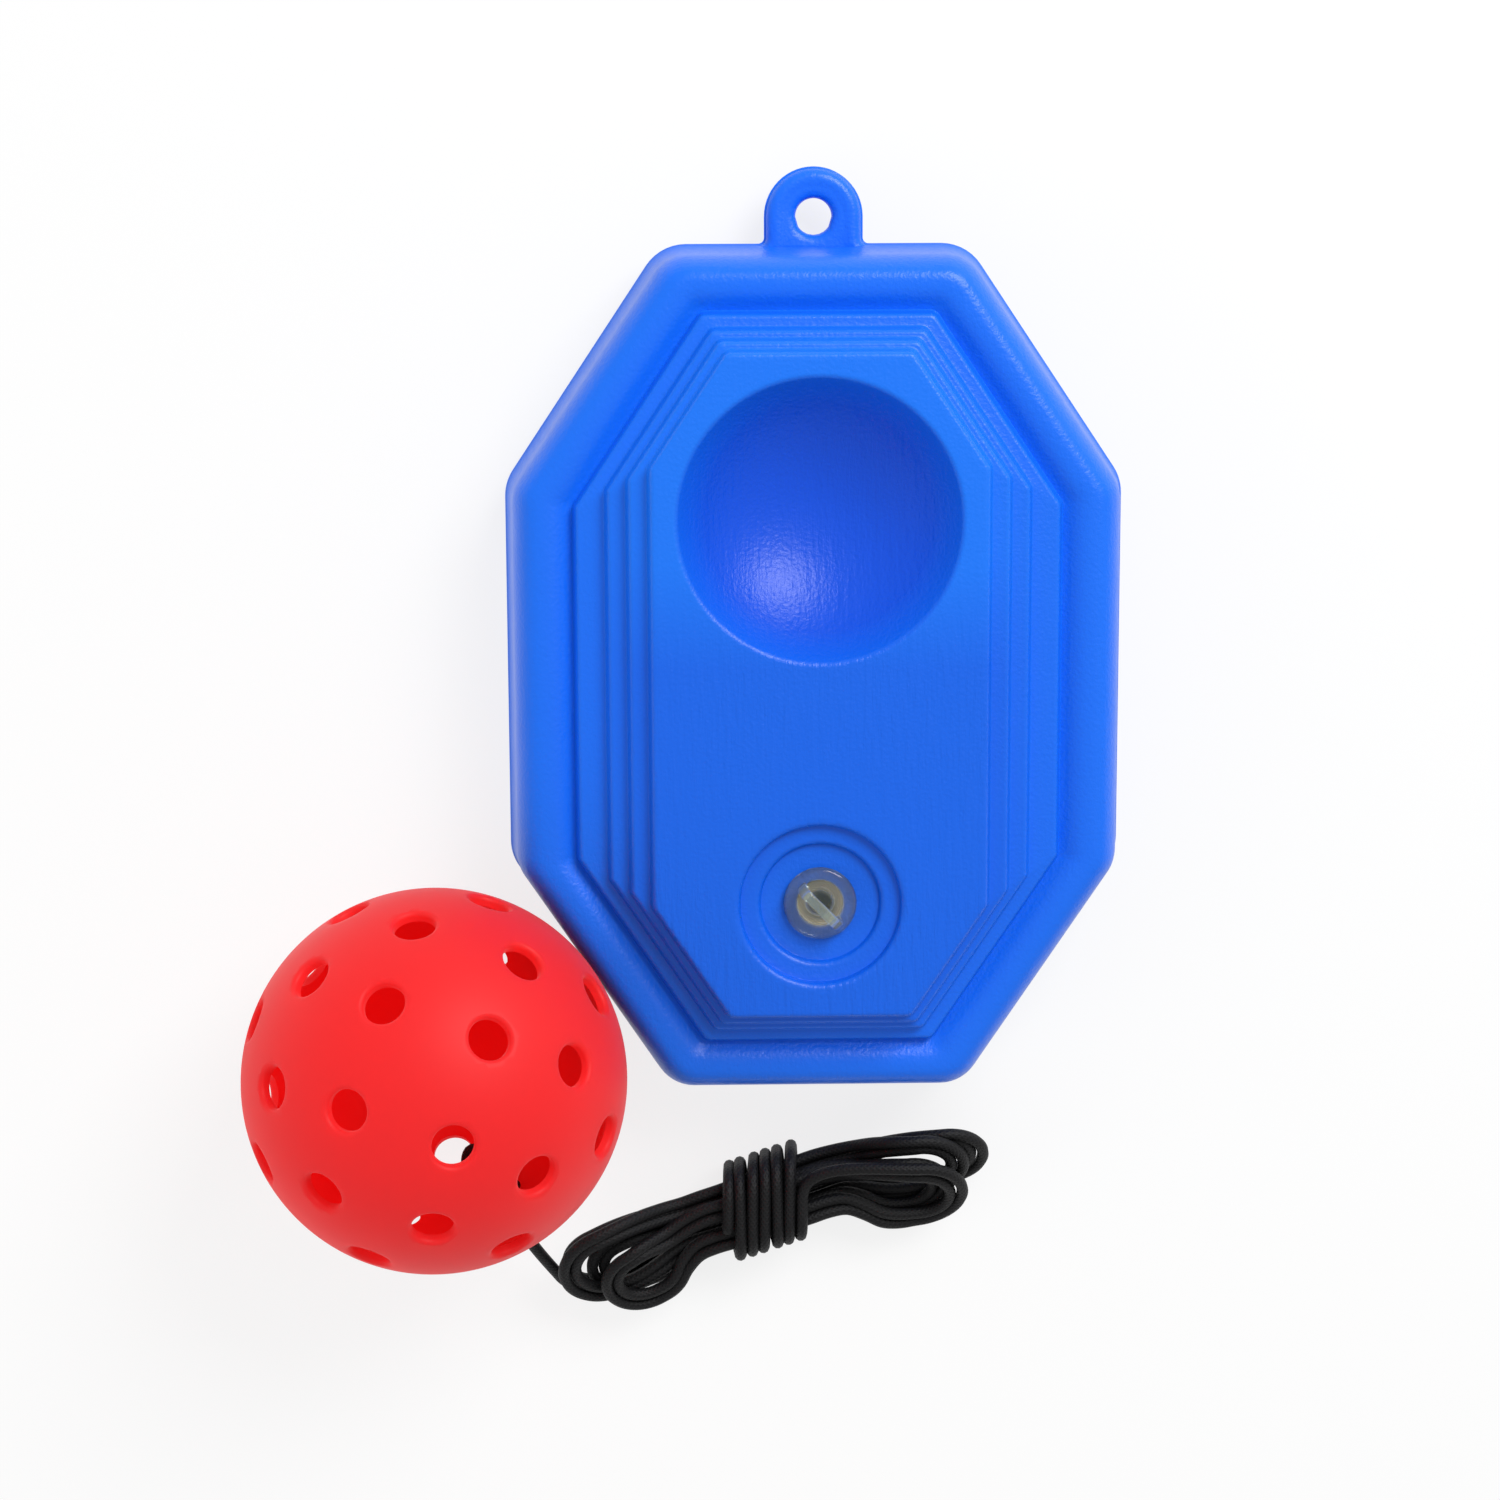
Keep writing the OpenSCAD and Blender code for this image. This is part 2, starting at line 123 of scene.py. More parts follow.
def settle(thing):
    # modifiers become a plain mesh
    graph = bpy.context.evaluated_depsgraph_get()
    shaped = thing.evaluated_get(graph)
    made = bpy.data.meshes.new_from_object(shaped, preserve_all_data_layers=True, depsgraph=graph)
    thing.modifiers.clear()
    old = thing.data
    thing.data = made
    bpy.data.meshes.remove(old)


def cut(thing, tool, how):
    step = thing.modifiers.new(how.lower(), "BOOLEAN")
    step.operation = how
    step.solver = "MANIFOLD"
    step.object = tool
    settle(thing)
    bpy.data.objects.remove(tool)


def oneMaterial(thing, material):
    # the faces that a tool cut take the piece's own material too
    thing.data.materials.clear()
    thing.data.materials.append(material)
    for poly in thing.data.polygons:
        poly.material_index = 0


# base: one hollow moulding, lofted through rounded octagons
# its sizes are the solid's, and flash, nosing and rimBias add what is finer than that
base = {
    "width": 120, "length": 165, "height": 39, "wall": 2,
    "cornerWidth": 30.5, "cornerLength": 45.5, "cornerRound": 9, "stepRound": 2, "leastRound": 1.2,
    "footRound": 4, "partingZ": 8, "flash": 0.35, "flashHalf": 0.45,
    "shoulderZ": 20, "shoulderIn": 0.11,
    "rimSide": 13.5, "rimEnd": 12, "rimZ": 29, "rimCrest": 0.5, "rimBias": 1.7, "groove": 2,
    "steps": 4, "lowTread": 1.5, "nose": 0.07,
    "flightSide": 15.3, "flightEnd": 7.2, "flightCorner": 8.1,
    # a step's edge, as mm in from its riser and a share of the rise
    "nosing": ((-0.5, 0), (-0.28, 0.03), (-0.08, 0.13), (0.08, 0.34), (0.22, 0.6),
               (0.42, 0.8), (0.7, 0.93), (1, 0.985), (1.3, 1)),
    "roomNosing": ((0.3, 0.75), (1, 1)),
    "topInset": 2, "fine": 8, "sharp": 38,
}
recess = {"mouth": 54, "radius": 33, "y": 32, "lip": 1.5, "flat": 0.9, "around": 128}
filler = {
    "y": -41.5, "bore": 9.2, "boreFlat": 1.2, "ring": 30.6, "inner": 22.8, "ringDepth": 2, "depth": 3.5,
    "soft": 1.2, "flat": 0.8, "around": 96,
    "cove": ((0.02, 0.25), (0.1, 0.08), (0.3, 0)),  # the foot of each ring, in from its wall and up
}
slant = math.hypot(base["cornerWidth"], base["cornerLength"])
slantX = base["cornerLength"] / slant
slantY = base["cornerWidth"] / slant
slantAngle = math.degrees(math.atan2(slantY, slantX))
bodyPlan = (base["width"] / 2, base["length"] / 2,
            slantX * base["width"] / 2 + slantY * (base["length"] / 2 - base["cornerLength"]))
rimPlan = (base["rimSide"], base["rimEnd"], (base["rimSide"] + base["rimEnd"]) / 2)
flightPlan = (base["flightSide"], base["flightEnd"], base["flightCorner"])
grooveZ = base["rimZ"] - base["groove"]
rise = (base["height"] - grooveZ) / base["steps"]
tread = (1 - base["nose"]) / (base["steps"] - 2 + base["lowTread"])


def octagon(plan, r, z, bend, straight):
    # a rounded octagon from how far its sides, ends and slants are out
    halfX, halfY, reach = (p - r for p in plan)
    side = (halfX, (reach - slantX * halfX) / slantY)
    end = ((reach - slantY * halfY) / slantX, halfY)
    quarter = arcPoints(*side, r, 0, slantAngle, bend) + arcPoints(*end, r, slantAngle, 90, bend)
    mirrors = ((1, 1, False), (-1, 1, True), (-1, -1, False), (1, -1, True))
    turned = [(x * mx, y * my) for mx, my, back in mirrors
              for x, y in (reversed(quarter) if back else quarter)]
    loop = []
    for i, p in enumerate(turned):
        loop.append((p[0], p[1], z))
        if (i + 1) % (bend + 1) == 0:
            q = turned[(i + 1) % len(turned)]
            for share in (k / straight for k in range(1, straight)):
                loop.append((p[0] + (q[0] - p[0]) * share, p[1] + (q[1] - p[1]) * share, z))
    return loop


def level(rimShare, flightShare, z, inset=0.0, bend=7, straight=8):
    # the outline at one height, as shares of the rim and of the flight of steps inside it
    plan = [b - rimShare * m - flightShare * w - inset for b, m, w in zip(bodyPlan, rimPlan, flightPlan)]
    r = base["cornerRound"] * (1 - min(1, max(0, rimShare))) + base["stepRound"] * min(1, rimShare) - inset
    return octagon(plan, max(base["leastRound"], r), z, bend, straight)


def riserAt(k):
    return 0 if k < 1 else (base["lowTread"] + k - 1) * tread


def mouldingRows(inset, fine, **cuts):
    foot, low, high, crest = base["footRound"], base["shoulderZ"], base["rimZ"], base["rimCrest"]
    outside = inset == 0
    rows = []
    for i in range(fine + 1):
        a = math.pi / 2 * (1 - i / fine)
        share = foot / base["rimSide"] * (1 - math.cos(a))
        rows.append(level(share, 0, inset + foot * (1 - math.sin(a)), inset, **cuts))
    # a thin flash stands out along the parting line
    flash, half = base["flash"], base["flashHalf"]
    flashRows = ((-2 * half, 0), (-half, flash), (half, flash), (2 * half, 0))
    for dz, out in flashRows if outside else ((0, 0),):
        rows.append(level(0, 0, base["partingZ"] + dz, inset - out, **cuts))
    for i in range(fine + 1):
        a = math.pi / 2 * i / fine
        share = crest - (crest - base["shoulderIn"]) * math.cos(a)
        rows.append(level(share, 0, low - inset + (high - low) * math.sin(a), inset, **cuts))
    # the rim's back stays high for longer than in the solid, then drops into the groove
    bias = base["rimBias"] if outside else 1
    for i in range(1, fine + 1):
        drop = (1 + math.cos(math.pi * (i / fine) ** bias)) / 2
        share = crest + (1 - crest) * i / fine
        rows.append(level(share, 0, grooveZ - inset + base["groove"] * drop, inset, **cuts))
    for k in range(base["steps"]):
        for along, up in base["nosing"] if outside else base["roomNosing"]:
            rows.append(level(1, riserAt(k), grooveZ - inset + (k + up) * rise, inset + along, **cuts))
    return rows


def bowlProfile():
    # the flat, the rounded lip and the bowl, then the bowl's centre and its lowest point
    top, r, lip = base["height"], recess["radius"], recess["lip"]
    midZ = top + math.sqrt(r ** 2 - (recess["mouth"] / 2) ** 2)
    lipZ = top - lip
    lipX = math.sqrt((r + lip) ** 2 - (midZ - lipZ) ** 2)
    stop = math.degrees(math.atan2(midZ - lipZ, -lipX))
    rows = [(lipX + recess["flat"], top)]
    rows += arcPoints(lipX, lipZ, lip, 90, stop, 10)
    rows += arcPoints(0, midZ, r, stop - 180, -90, 30)[1:-1]
    return rows, midZ, midZ - r


def seatProfile():
    # two rings that step down to the flat around the bore
    top, soft = base["height"], filler["soft"]
    ledge, low = top - filler["ringDepth"], top - filler["depth"]
    rows = [(filler["ring"] / 2 + soft + filler["flat"], top)]
    for half, above, below in ((filler["ring"] / 2, top, ledge), (filler["inner"] / 2, ledge, low)):
        rows += arcPoints(half + soft, above - soft, soft, 90, 180, 5)
        rows += [(half - inward, below + up) for inward, up in filler["cove"]]
    rows.append((filler["bore"] / 2 + filler["boreFlat"], low))
    return rows, low


def makeBase(material):
    rows = mouldingRows(0, base["fine"])
    rows.append(level(1, riserAt(base["steps"] - 1), base["height"], base["topInset"]))
    count = len(rows[0])
    points = [p for row in rows for p in row]
    faces = ringFaces(len(rows), count)
    faces.append(tuple(reversed(range(count))))
    rims = [[(len(rows) - 1) * count + j for j in range(count)]]
    bowlRows, bowlMid, bowlLow = bowlProfile()
    seatRows, seatLow = seatProfile()
    for profile, place, low in ((bowlRows, recess, bowlLow), (seatRows, filler, seatLow)):
        start, around = len(points), place["around"]
        points += lathe(profile, place["y"], around)
        faces += [tuple(reversed(f)) for f in ringFaces(len(profile), around, start)]
        last = start + (len(profile) - 1) * around
        points.append((0, place["y"], low))
        faces += [(last + j, len(points) - 1, last + (j + 1) % around) for j in range(around)]
        rims.append([start + j for j in range(around)])
    made = meshObject("baseMoulding", points, faces, material)
    # the plateau is filled in between its edge and the two round openings
    work = bmesh.new()
    work.from_mesh(made.data)
    work.verts.ensure_lookup_table()
    loops = []
    for rim in rims:
        for a, b in zip(rim, rim[1:] + rim[:1]):
            loops.append(work.edges.get((work.verts[a], work.verts[b])))
    bmesh.ops.triangle_fill(work, edges=loops, use_beauty=True, normal=(0, 0, 1))
    bmesh.ops.recalc_face_normals(work, faces=work.faces)
    work.to_mesh(made.data)
    work.free()
    cut(made, makeTab(), "UNION")
    cut(made, makeTank(bowlMid, seatLow), "DIFFERENCE")
    oneMaterial(made, material)
    tidyNormals(made, base["sharp"])
    return made


tab = {
    "y": 88, "width": 18.4, "hole": 7, "root": 82.5, "fillet": 1.5, "tuck": 5, "dish": 3,
    # from the flash over the rounded edge to the dish, then over the lip into the hole,
    # as mm in from the edge or out from the hole and mm above the parting line
    "edge": ((-base["flash"], 0.3), (0, 0.5), (0.12, 1.2), (0.5, 1.9), (1.1, 2.35), (1.8, 2.5),
             (2.6, 2.42), (3.1, 2.25)),
    "lip": ((2.1, 2.2), (1.4, 2.1), (0.8, 1.85), (0.35, 1.45), (0.08, 0.9), (0, 0.3)),
}


def tabOutline(inward):
    # a fillet, the round end, the other fillet, and a back that is tucked into the body
    half, root, r, backCuts = tab["width"] / 2, tab["root"], tab["fillet"], 6
    fillet = arcPoints(half + r, root + r, r + inward, 270, 180, 6)
    roundEnd = arcPoints(0, tab["y"], half - inward, 0, 180, 28)
    back = [((half + r) * (2 * i / backCuts - 1), root - tab["tuck"]) for i in range(backCuts + 1)]
    return fillet + roundEnd + [(-x, y) for x, y in reversed(fillet)] + back


def makeTab():
    y, mid = tab["y"], base["partingZ"]
    rows = [[(px, py, mid + z) for px, py in tabOutline(inward)] for inward, z in tab["edge"]]
    aims = [math.atan2(py - y, px) for px, py in tabOutline(tab["dish"])]
    for out, z in tab["lip"]:
        k = tab["hole"] / 2 + out
        rows.append([(k * math.cos(a), y + k * math.sin(a), mid + z) for a in aims])
    rows += [[(px, py, 2 * mid - pz) for px, py, pz in row] for row in reversed(rows)]
    count = len(aims)
    faces = ringFaces(len(rows), count)
    last = (len(rows) - 1) * count
    faces += [(last + j, last + (j + 1) % count, (j + 1) % count, j) for j in range(count)]
    made = meshObject("tabTool", [p for row in rows for p in row], faces)
    tidyNormals(made)
    return made


def drum(name, y, r, low, high, count=72):
    points = lathe(((r, low), (r, high)), y, count)
    return meshObject(name, points, ringFaces(2, count) + capFaces(2, count))


def makeTank(bowlMid, seatLow):
    # the room inside, kept off the bowl and the seat by a wall, and the filler bore into it
    wall = base["wall"]
    rows = mouldingRows(wall, 2, bend=3, straight=1)
    count = len(rows[0])
    faces = ringFaces(len(rows), count) + capFaces(len(rows), count)
    made = meshObject("tankTool", [p for row in rows for p in row], faces)
    tidyNormals(made)
    dome = bpy.data.meshes.new("domeTool")
    work = bmesh.new()
    centre = Matrix.Translation(Vector((0, recess["y"], bowlMid)) * mm)
    bmesh.ops.create_uvsphere(work, u_segments=64, v_segments=48, matrix=centre,
                              radius=(recess["radius"] + wall) * mm)
    work.to_mesh(dome)
    work.free()
    tool = bpy.data.objects.new("domeTool", dome)
    bpy.context.scene.collection.objects.link(tool)
    cut(made, tool, "DIFFERENCE")
    y, underSeat, aboveAll = filler["y"], seatLow - wall, base["height"] + 5
    cut(made, drum("seatTool", y, filler["ring"] / 2 + wall, underSeat, aboveAll), "DIFFERENCE")
    cut(made, drum("boreTool", y, filler["bore"] / 2, underSeat - 2 * wall, seatLow + 1), "UNION")
    return made


# ball: a thin shell, its holes cut by a Geometry Nodes tree
ball = {
    "diameter": 74, "wall": 2, "hole": 7.9, "lip": 0.9, "lipTurn": 72, "smoothness": 6, "sharp": 40,
    "place": (-74.219, -75.5143, 37), "tilt": (-17, -1), "spin": 26.4,
    "rings": ((23.5, 4, 0), (50, 8, 22.5), (73, 8, 0)),  # degrees from the pole, holes, turn
    "backTurn": -22.5,
}


def turnX(p, a):
    c, s = math.cos(math.radians(a)), math.sin(math.radians(a))
    return Vector((p[0], p[1] * c - p[2] * s, p[1] * s + p[2] * c))


def turnY(p, a):
    c, s = math.cos(math.radians(a)), math.sin(math.radians(a))
    return Vector((p[0] * c + p[2] * s, p[1], p[2] * c - p[0] * s))


def holeWay(fromPole, azimuth):
    lat, around = math.radians(fromPole), math.radians(azimuth + ball["spin"])
    aim = Vector((math.sin(lat) * math.cos(around), math.sin(lat) * math.sin(around), math.cos(lat)))
    return turnY(turnX(aim, ball["tilt"][0]), ball["tilt"][1])


def makePunch():
    # a punch with a rounded mouth, its z measured from the ball's outside
    half, lip, r, count = ball["hole"] / 2, ball["lip"], ball["diameter"] / 2, 44
    drop = (half + lip) ** 2 / (2 * r)
    mouth = arcPoints(half + lip, -drop - lip, lip, 180, 180 - ball["lipTurn"], 8)
    flareOut, flareUp = 3, 1.2
    profile = [(half, -3 * ball["wall"])] + mouth + [(mouth[-1][0] + flareOut, mouth[-1][1] + flareUp)]
    faces = ringFaces(len(profile), count) + capFaces(len(profile), count)
    return meshObject("holePunch", lathe(profile, 0, count), faces)


def ballTree():
    # a punch on every point, cut out of the wall between two spheres
    tree = bpy.data.node_groups.new("ballHoles", "GeometryNodeTree")
    tree.interface.new_socket("Geometry", in_out="OUTPUT", socket_type="NodeSocketGeometry")
    for name, kind in (("Geometry", "Geometry"), ("Centre", "Vector"), ("Radius", "Float"),
                       ("Wall", "Float"), ("Punch", "Object"), ("Material", "Material")):
        tree.interface.new_socket(name, in_out="INPUT", socket_type="NodeSocket" + kind)
    given = addNode(tree, "NodeGroupInput").outputs
    spot = addNode(tree, "GeometryNodeInputPosition").outputs[0]
    outward = addNode(tree, "ShaderNodeVectorMath", {0: spot, 1: given["Centre"]}, operation="SUBTRACT")
    turn = addNode(tree, "FunctionNodeAlignRotationToVector", {"Vector": outward.outputs[0]}, axis="Z")
    tool = addNode(tree, "GeometryNodeObjectInfo", {"Object": given["Punch"]}).outputs["Geometry"]
    punches = addNode(tree, "GeometryNodeInstanceOnPoints", {
        "Points": given["Geometry"], "Instance": tool, "Rotation": turn.outputs[0]}).outputs[0]
    punches = addNode(tree, "GeometryNodeRealizeInstances", {"Geometry": punches}).outputs[0]
    inside = addNode(tree, "ShaderNodeMath", {0: given["Radius"], 1: given["Wall"]}, operation="SUBTRACT")
    shells = []
    for radius in (given["Radius"], inside.outputs[0]):
        sphere = addNode(tree, "GeometryNodeMeshIcoSphere", {
            "Radius": radius, "Subdivisions": ball["smoothness"]}).outputs[0]
        shells.append(addNode(tree, "GeometryNodeTransform", {
            "Geometry": sphere, "Translation": given["Centre"]}).outputs[0])
    holed = addNode(tree, "GeometryNodeMeshBoolean", {0: shells[0]},
                    operation="DIFFERENCE", solver="MANIFOLD")
    for taken in (shells[1], punches):
        tree.links.new(taken, holed.inputs[1])
    shape = addNode(tree, "GeometryNodeSetShadeSmooth", {"Geometry": holed.outputs[0]}).outputs[0]
    shape = addNode(tree, "GeometryNodeRealizeInstances", {"Geometry": shape}).outputs[0]
    shape = addNode(tree, "GeometryNodeSetMaterial", {
        "Geometry": shape, "Material": given["Material"]}).outputs[0]
    addNode(tree, "NodeGroupOutput", {0: shape})
    return tree


def makeBall(material):
    place = Vector(ball["place"])
    ways = [holeWay(180 - lat if back else lat, turn + back * ball["backTurn"] + 360 * k / count)
            for lat, count, turn in ball["rings"] for back in (0, 1) for k in range(count)]
    made = meshObject("holedBall", [place + w * ball["diameter"] / 2 for w in ways], [])
    punch = makePunch()
    step = made.modifiers.new("holes", "NODES")
    step.node_group = ballTree()
    values = {"Centre": place * mm, "Radius": ball["diameter"] / 2 * mm, "Wall": ball["wall"] * mm,
              "Punch": punch, "Material": material}
    for item in step.node_group.interface.items_tree:
        if item.item_type == "SOCKET" and item.in_out == "INPUT" and item.name in values:
            step[item.identifier] = values[item.name]
    settle(made)
    bpy.data.objects.remove(punch)
    oneMaterial(made, material)
    tidyNormals(made, ball["sharp"])
    return made


# plug: a flange on a hollow ribbed stem, and a strap bent over it as a tie loop
plug = {
    "flange": 14, "flangeThick": 1.8, "stem": 9, "stemBore": 6, "stemLength": 9, "tip": 0.6,
    "flangeGap": 0.01, "roof": 1, "roofBevel": 0.6, "pinhole": 0.001, "around": 72, "sharp": 40,
    # the dish in the flange, as radius and height against its top
    "dish": ((0, -0.25), (4.2, -0.25), (4.9, -0.12), (5.6, 0)),
    # one rib and the waist below it, as mm out from the stem and up from the rib's top
    "rib": ((0, -0.2), (0, -1.3), (-0.15, -1.6), (-0.5, -1.7), (-0.5, -2.9)), "ribs": 3, "ribPitch": 3,
    "loopInside": 7.9, "loopHeight": 4.6, "loopTurn": -45,
    "strapWide": 2, "strapThick": 1.3, "strapBend": 1.7, "strapSoft": 0.38,
    "strapRoot": 0.6, "strapSink": 0.2,
}
plugSeat = base["height"] - filler["depth"]


def makeStrap():
    half = plug["loopInside"] / 2 + plug["strapThick"] / 2
    high = plug["loopHeight"] + plug["strapThick"] / 2
    bend, root = plug["strapBend"], plug["strapRoot"]
    line = [(-half, -root), (-half, 1)] + arcPoints(bend - half, high - bend, bend, 180, 90, 6)
    line += [(-half / 3, high), (half / 3, high)]
    line += arcPoints(half - bend, high - bend, bend, 90, 0, 6) + [(half, 1), (half, -root)]
    wide, deep, soft = plug["strapWide"] / 2, plug["strapThick"] / 2, plug["strapSoft"]
    section = []
    for mx, my, start in ((1, 1, 0), (-1, 1, 90), (-1, -1, 180), (1, -1, 270)):
        section += arcPoints(mx * (wide - soft), my * (deep - soft), soft, start, start + 90, 3)
    turn = math.radians(plug["loopTurn"])
    foot = plugSeat + plug["flangeThick"] - plug["strapSink"]
    points = []
    for i, (x, z) in enumerate(line):
        before, after = line[max(0, i - 1)], line[min(len(line) - 1, i + 1)]
        tx, tz = after[0] - before[0], after[1] - before[1]
        size = math.hypot(tx, tz)
        for across, out in section:
            px, pz = x - tz / size * out, z + tx / size * out
            points.append((px * math.cos(turn) - across * math.sin(turn),
                           filler["y"] + px * math.sin(turn) + across * math.cos(turn), foot + pz))
    faces = ringFaces(len(line), len(section)) + capFaces(len(line), len(section))
    made = meshObject("strapTool", points, faces)
    tidyNormals(made)
    return made


def makePlug(material):
    rim, thick, stem = plug["flange"] / 2, plug["flangeThick"], plug["stem"] / 2
    bore, low, roof = plug["stemBore"] / 2, plugSeat - plug["stemLength"], plugSeat - plug["roof"]
    pinhole = plug["pinhole"]  # on the axis, closed when doubles are merged
    profile = [(max(r, pinhole), plugSeat + thick + dz) for r, dz in plug["dish"]]
    profile += arcPoints(rim - thick / 2, plugSeat + thick / 2, thick / 2, 90, -90, 8)
    profile.append((stem, plugSeat + plug["flangeGap"]))
    for k in range(plug["ribs"]):
        profile += [(stem + dr, plugSeat - plug["ribPitch"] * k + dz) for dr, dz in plug["rib"]]
    profile += [(stem - plug["tip"], low), (bore, low), (bore, roof - plug["roofBevel"]),
                (bore - plug["roofBevel"], roof), (pinhole, roof)]
    count = plug["around"]
    faces = ringFaces(len(profile), count) + capFaces(len(profile), count)
    made = meshObject("fillerPlug", lathe(profile, filler["y"], count), faces, material)
    tidyNormals(made)
    cut(made, makeStrap(), "UNION")
    oneMaterial(made, material)
    tidyNormals(made, plug["sharp"])
    return made


# cord: one tube from the stopper knot in the ball, along the lead, through the hank's loops to its wraps
cord = {
    "diameter": 2.4, "hole": (130, 270), "sag": 2.45, "sides": 10, "endTaper": 0.72, "offFloor": 0.05,
    "leadOut": (1, 4), "spacing": 0.9, "knotSpacing": 0.6,
    "knotRadius": 3.4, "knotPitch": 2.9, "knotTurns": 2.25, "knotDepth": 4.2,
    # from the coil's low end up through its middle
    "knotFoot": ((-1.7, 3.2, -0.6), (-2.9, 2.1, -1.4), (-3.1, 0.6, -2.4), (-2.5, -0.6, -3.5),
                 (-1.4, -1.1, -4.3), (-0.3, -0.9, -4.1), (0.1, -0.4, -3),
                 (0, 0, -1.5), (0, 0, 1), (0, 0, 3.2)),
}
# the hank's loops as in the solid, drawn up until they touch
# reach and fan have one value for each layer, in mm and radians
hank = {
    "place": (-10, -110), "turn": 18.4, "loops": 2, "layers": 4, "wraps": 6,
    "run": 32.4, "pitch": 2.5, "layer": 2.45, "climb": 0.09, "innerHalf": 4.9,
    "waistPitch": 2.42, "waistGap": 0.06, "waistFlat": 11, "drawnFlat": 16, "drawnFade": 15, "liftFade": 10,
    "left": {"reach": (3, -2.4, 1.4, -4), "fan": (0.02, -0.08, 0.12, -0.12), "roll": 33, "bend": -0.1},
    "right": {"reach": (5, -0.5, -3.5, -1.5), "fan": (0.03, 0.07, -0.05, -0.07), "roll": 40, "bend": -0.2},
    "swingStart": 12, "wobble": 0.3, "wobbleLength": 5.5, "wobbleShift": 4.2,
    "wrapGap": 0.7, "wrapPitch": 2.62, "wrapLean": 0.28, "wrapSway": 0.03, "swayTurn": 2.3, "wrapCorner": 5,
    "firstTurn": 0.25, "lastTurn": 0.125, "loopCuts": 64, "wrapCuts": 48, "wrapTail": 3,
}
down = Vector((0, 0, -1))
cordWay = holeWay(*cord["hole"])
cordLow = (down - cordWay * down.dot(cordWay)).normalized()
cordFoot = Vector(ball["place"]) + cord["sag"] * cordLow
cordR = cord["diameter"] / 2
bottomZ = cordR + cord["offFloor"]
outerHalf = hank["innerHalf"] + hank["loops"] * hank["pitch"]
wrapRoom = cord["diameter"] + hank["wrapGap"]


def clamp(x, low, high):
    return max(low, min(high, x))


def eased(x):
    # 0 to 1 with a soft start and a soft end
    return x * x * (3 - 2 * x)


def onFloor(p):
    c, s = math.cos(math.radians(hank["turn"])), math.sin(math.radians(hank["turn"]))
    return Vector((hank["place"][0] + p[0] * c - p[1] * s, hank["place"][1] + p[0] * s + p[1] * c, p[2]))


def waist(u):
    # 1 where the loops are drawn in, and 0 in the lobes
    return (1 + math.cos(math.pi * clamp((abs(u) - hank["drawnFlat"]) / hank["drawnFade"], 0, 1))) / 2


def drawn(w, u):
    low = cordR + hank["waistGap"] / 2 + (w - hank["innerHalf"]) * hank["waistPitch"] / hank["pitch"]
    return w + (low - w) * waist(u)


def spiral(t):
    # half the width of the loop at turn t, inward in one layer and outward in the next
    k = math.floor(t / hank["loops"])
    part = t - k * hank["loops"]
    return outerHalf - hank["pitch"] * (part if k % 2 == 0 else hank["loops"] - part)


def climbed(t):
    # the layer at turn t, with a short climb from each to the next
    k = round(t / hank["loops"])
    if k < 1 or k >= hank["layers"]:
        return math.floor(t / hank["loops"])
    return k - 0.5 + math.sin(math.pi * clamp((t - k * hank["loops"]) / hank["climb"], -0.5, 0.5)) / 2


def atLayer(shares, c):
    i = math.floor(c)
    j = min(i + 1, hank["layers"] - 1)
    return shares[i] + (shares[j] - shares[i]) * (c - i)


def swung(past, v, angle):
    # a lobe turned sideways, starting softly where it leaves the waist
    a = angle * eased(clamp(past / hank["swingStart"], 0, 1))
    return past * math.cos(a) - v * math.sin(a), past * math.sin(a) + v * math.cos(a)


def loopPlace(t):
    # a turn is a straight, an end, the other straight and the other end
    turn = (t + 0.125) * 4
    part, x = math.floor(turn) % 4, turn - math.floor(turn)
    w, c, run = spiral(t), climbed(t), hank["run"]
    if part in (0, 2):
        way = 1 if part == 0 else -1
        u = run * (1 - 2 * x) * way
        v = drawn(w, u) * way
    else:
        way = 1 if part == 1 else -1
        u = -(run + w * math.sin(math.pi * x)) * way
        v = w * math.cos(math.pi * x) * way
    far, side = abs(u), math.copysign(1, u)
    lobe = hank["left"] if side < 0 else hank["right"]
    flatTo = hank["waistFlat"]
    freeFrom = flatTo + hank["liftFade"]
    lift = wrapRoom * clamp((freeFrom - far) / hank["liftFade"], 0, 1)
    v += hank["wobble"] * (1 - waist(u)) * math.sin(u / hank["wobbleLength"] + hank["wobbleShift"] * t)
    past = max(0, far - flatTo)
    # beyond the waist the stack of layers rolls over as one, so that each shows beside the one above it
    roll = math.radians(lobe["roll"]) * eased(clamp(past / (run - flatTo), 0, 1))
    half = hank["layer"] * (hank["layers"] - 1) / 2
    high = hank["layer"] * c - half
    past += atLayer(lobe["reach"], c) * clamp((far - freeFrom) / (run - freeFrom), 0, 1)
    out, v = swung(past, v, atLayer(lobe["fan"], c))
    raised = outerHalf * math.sin(roll) + half * math.cos(roll)
    flat = v * math.cos(roll) - high * math.sin(roll)
    tall = v * math.sin(roll) + high * math.cos(roll)
    out, flat = swung(out, flat, lobe["bend"])
    return side * (min(far, flatTo) + out), flat, bottomZ + lift + raised + tall


wrapUpper, wrapLower = drawn(outerHalf, 0), drawn(outerHalf - hank["pitch"] / 2, 0)
wrapMid = (wrapUpper - wrapLower) / 2
wrapHalf = (wrapUpper + wrapLower) / 2 + wrapRoom
wrapHigh = bottomZ + (hank["layers"] - 1) * hank["layer"] + 2 * wrapRoom


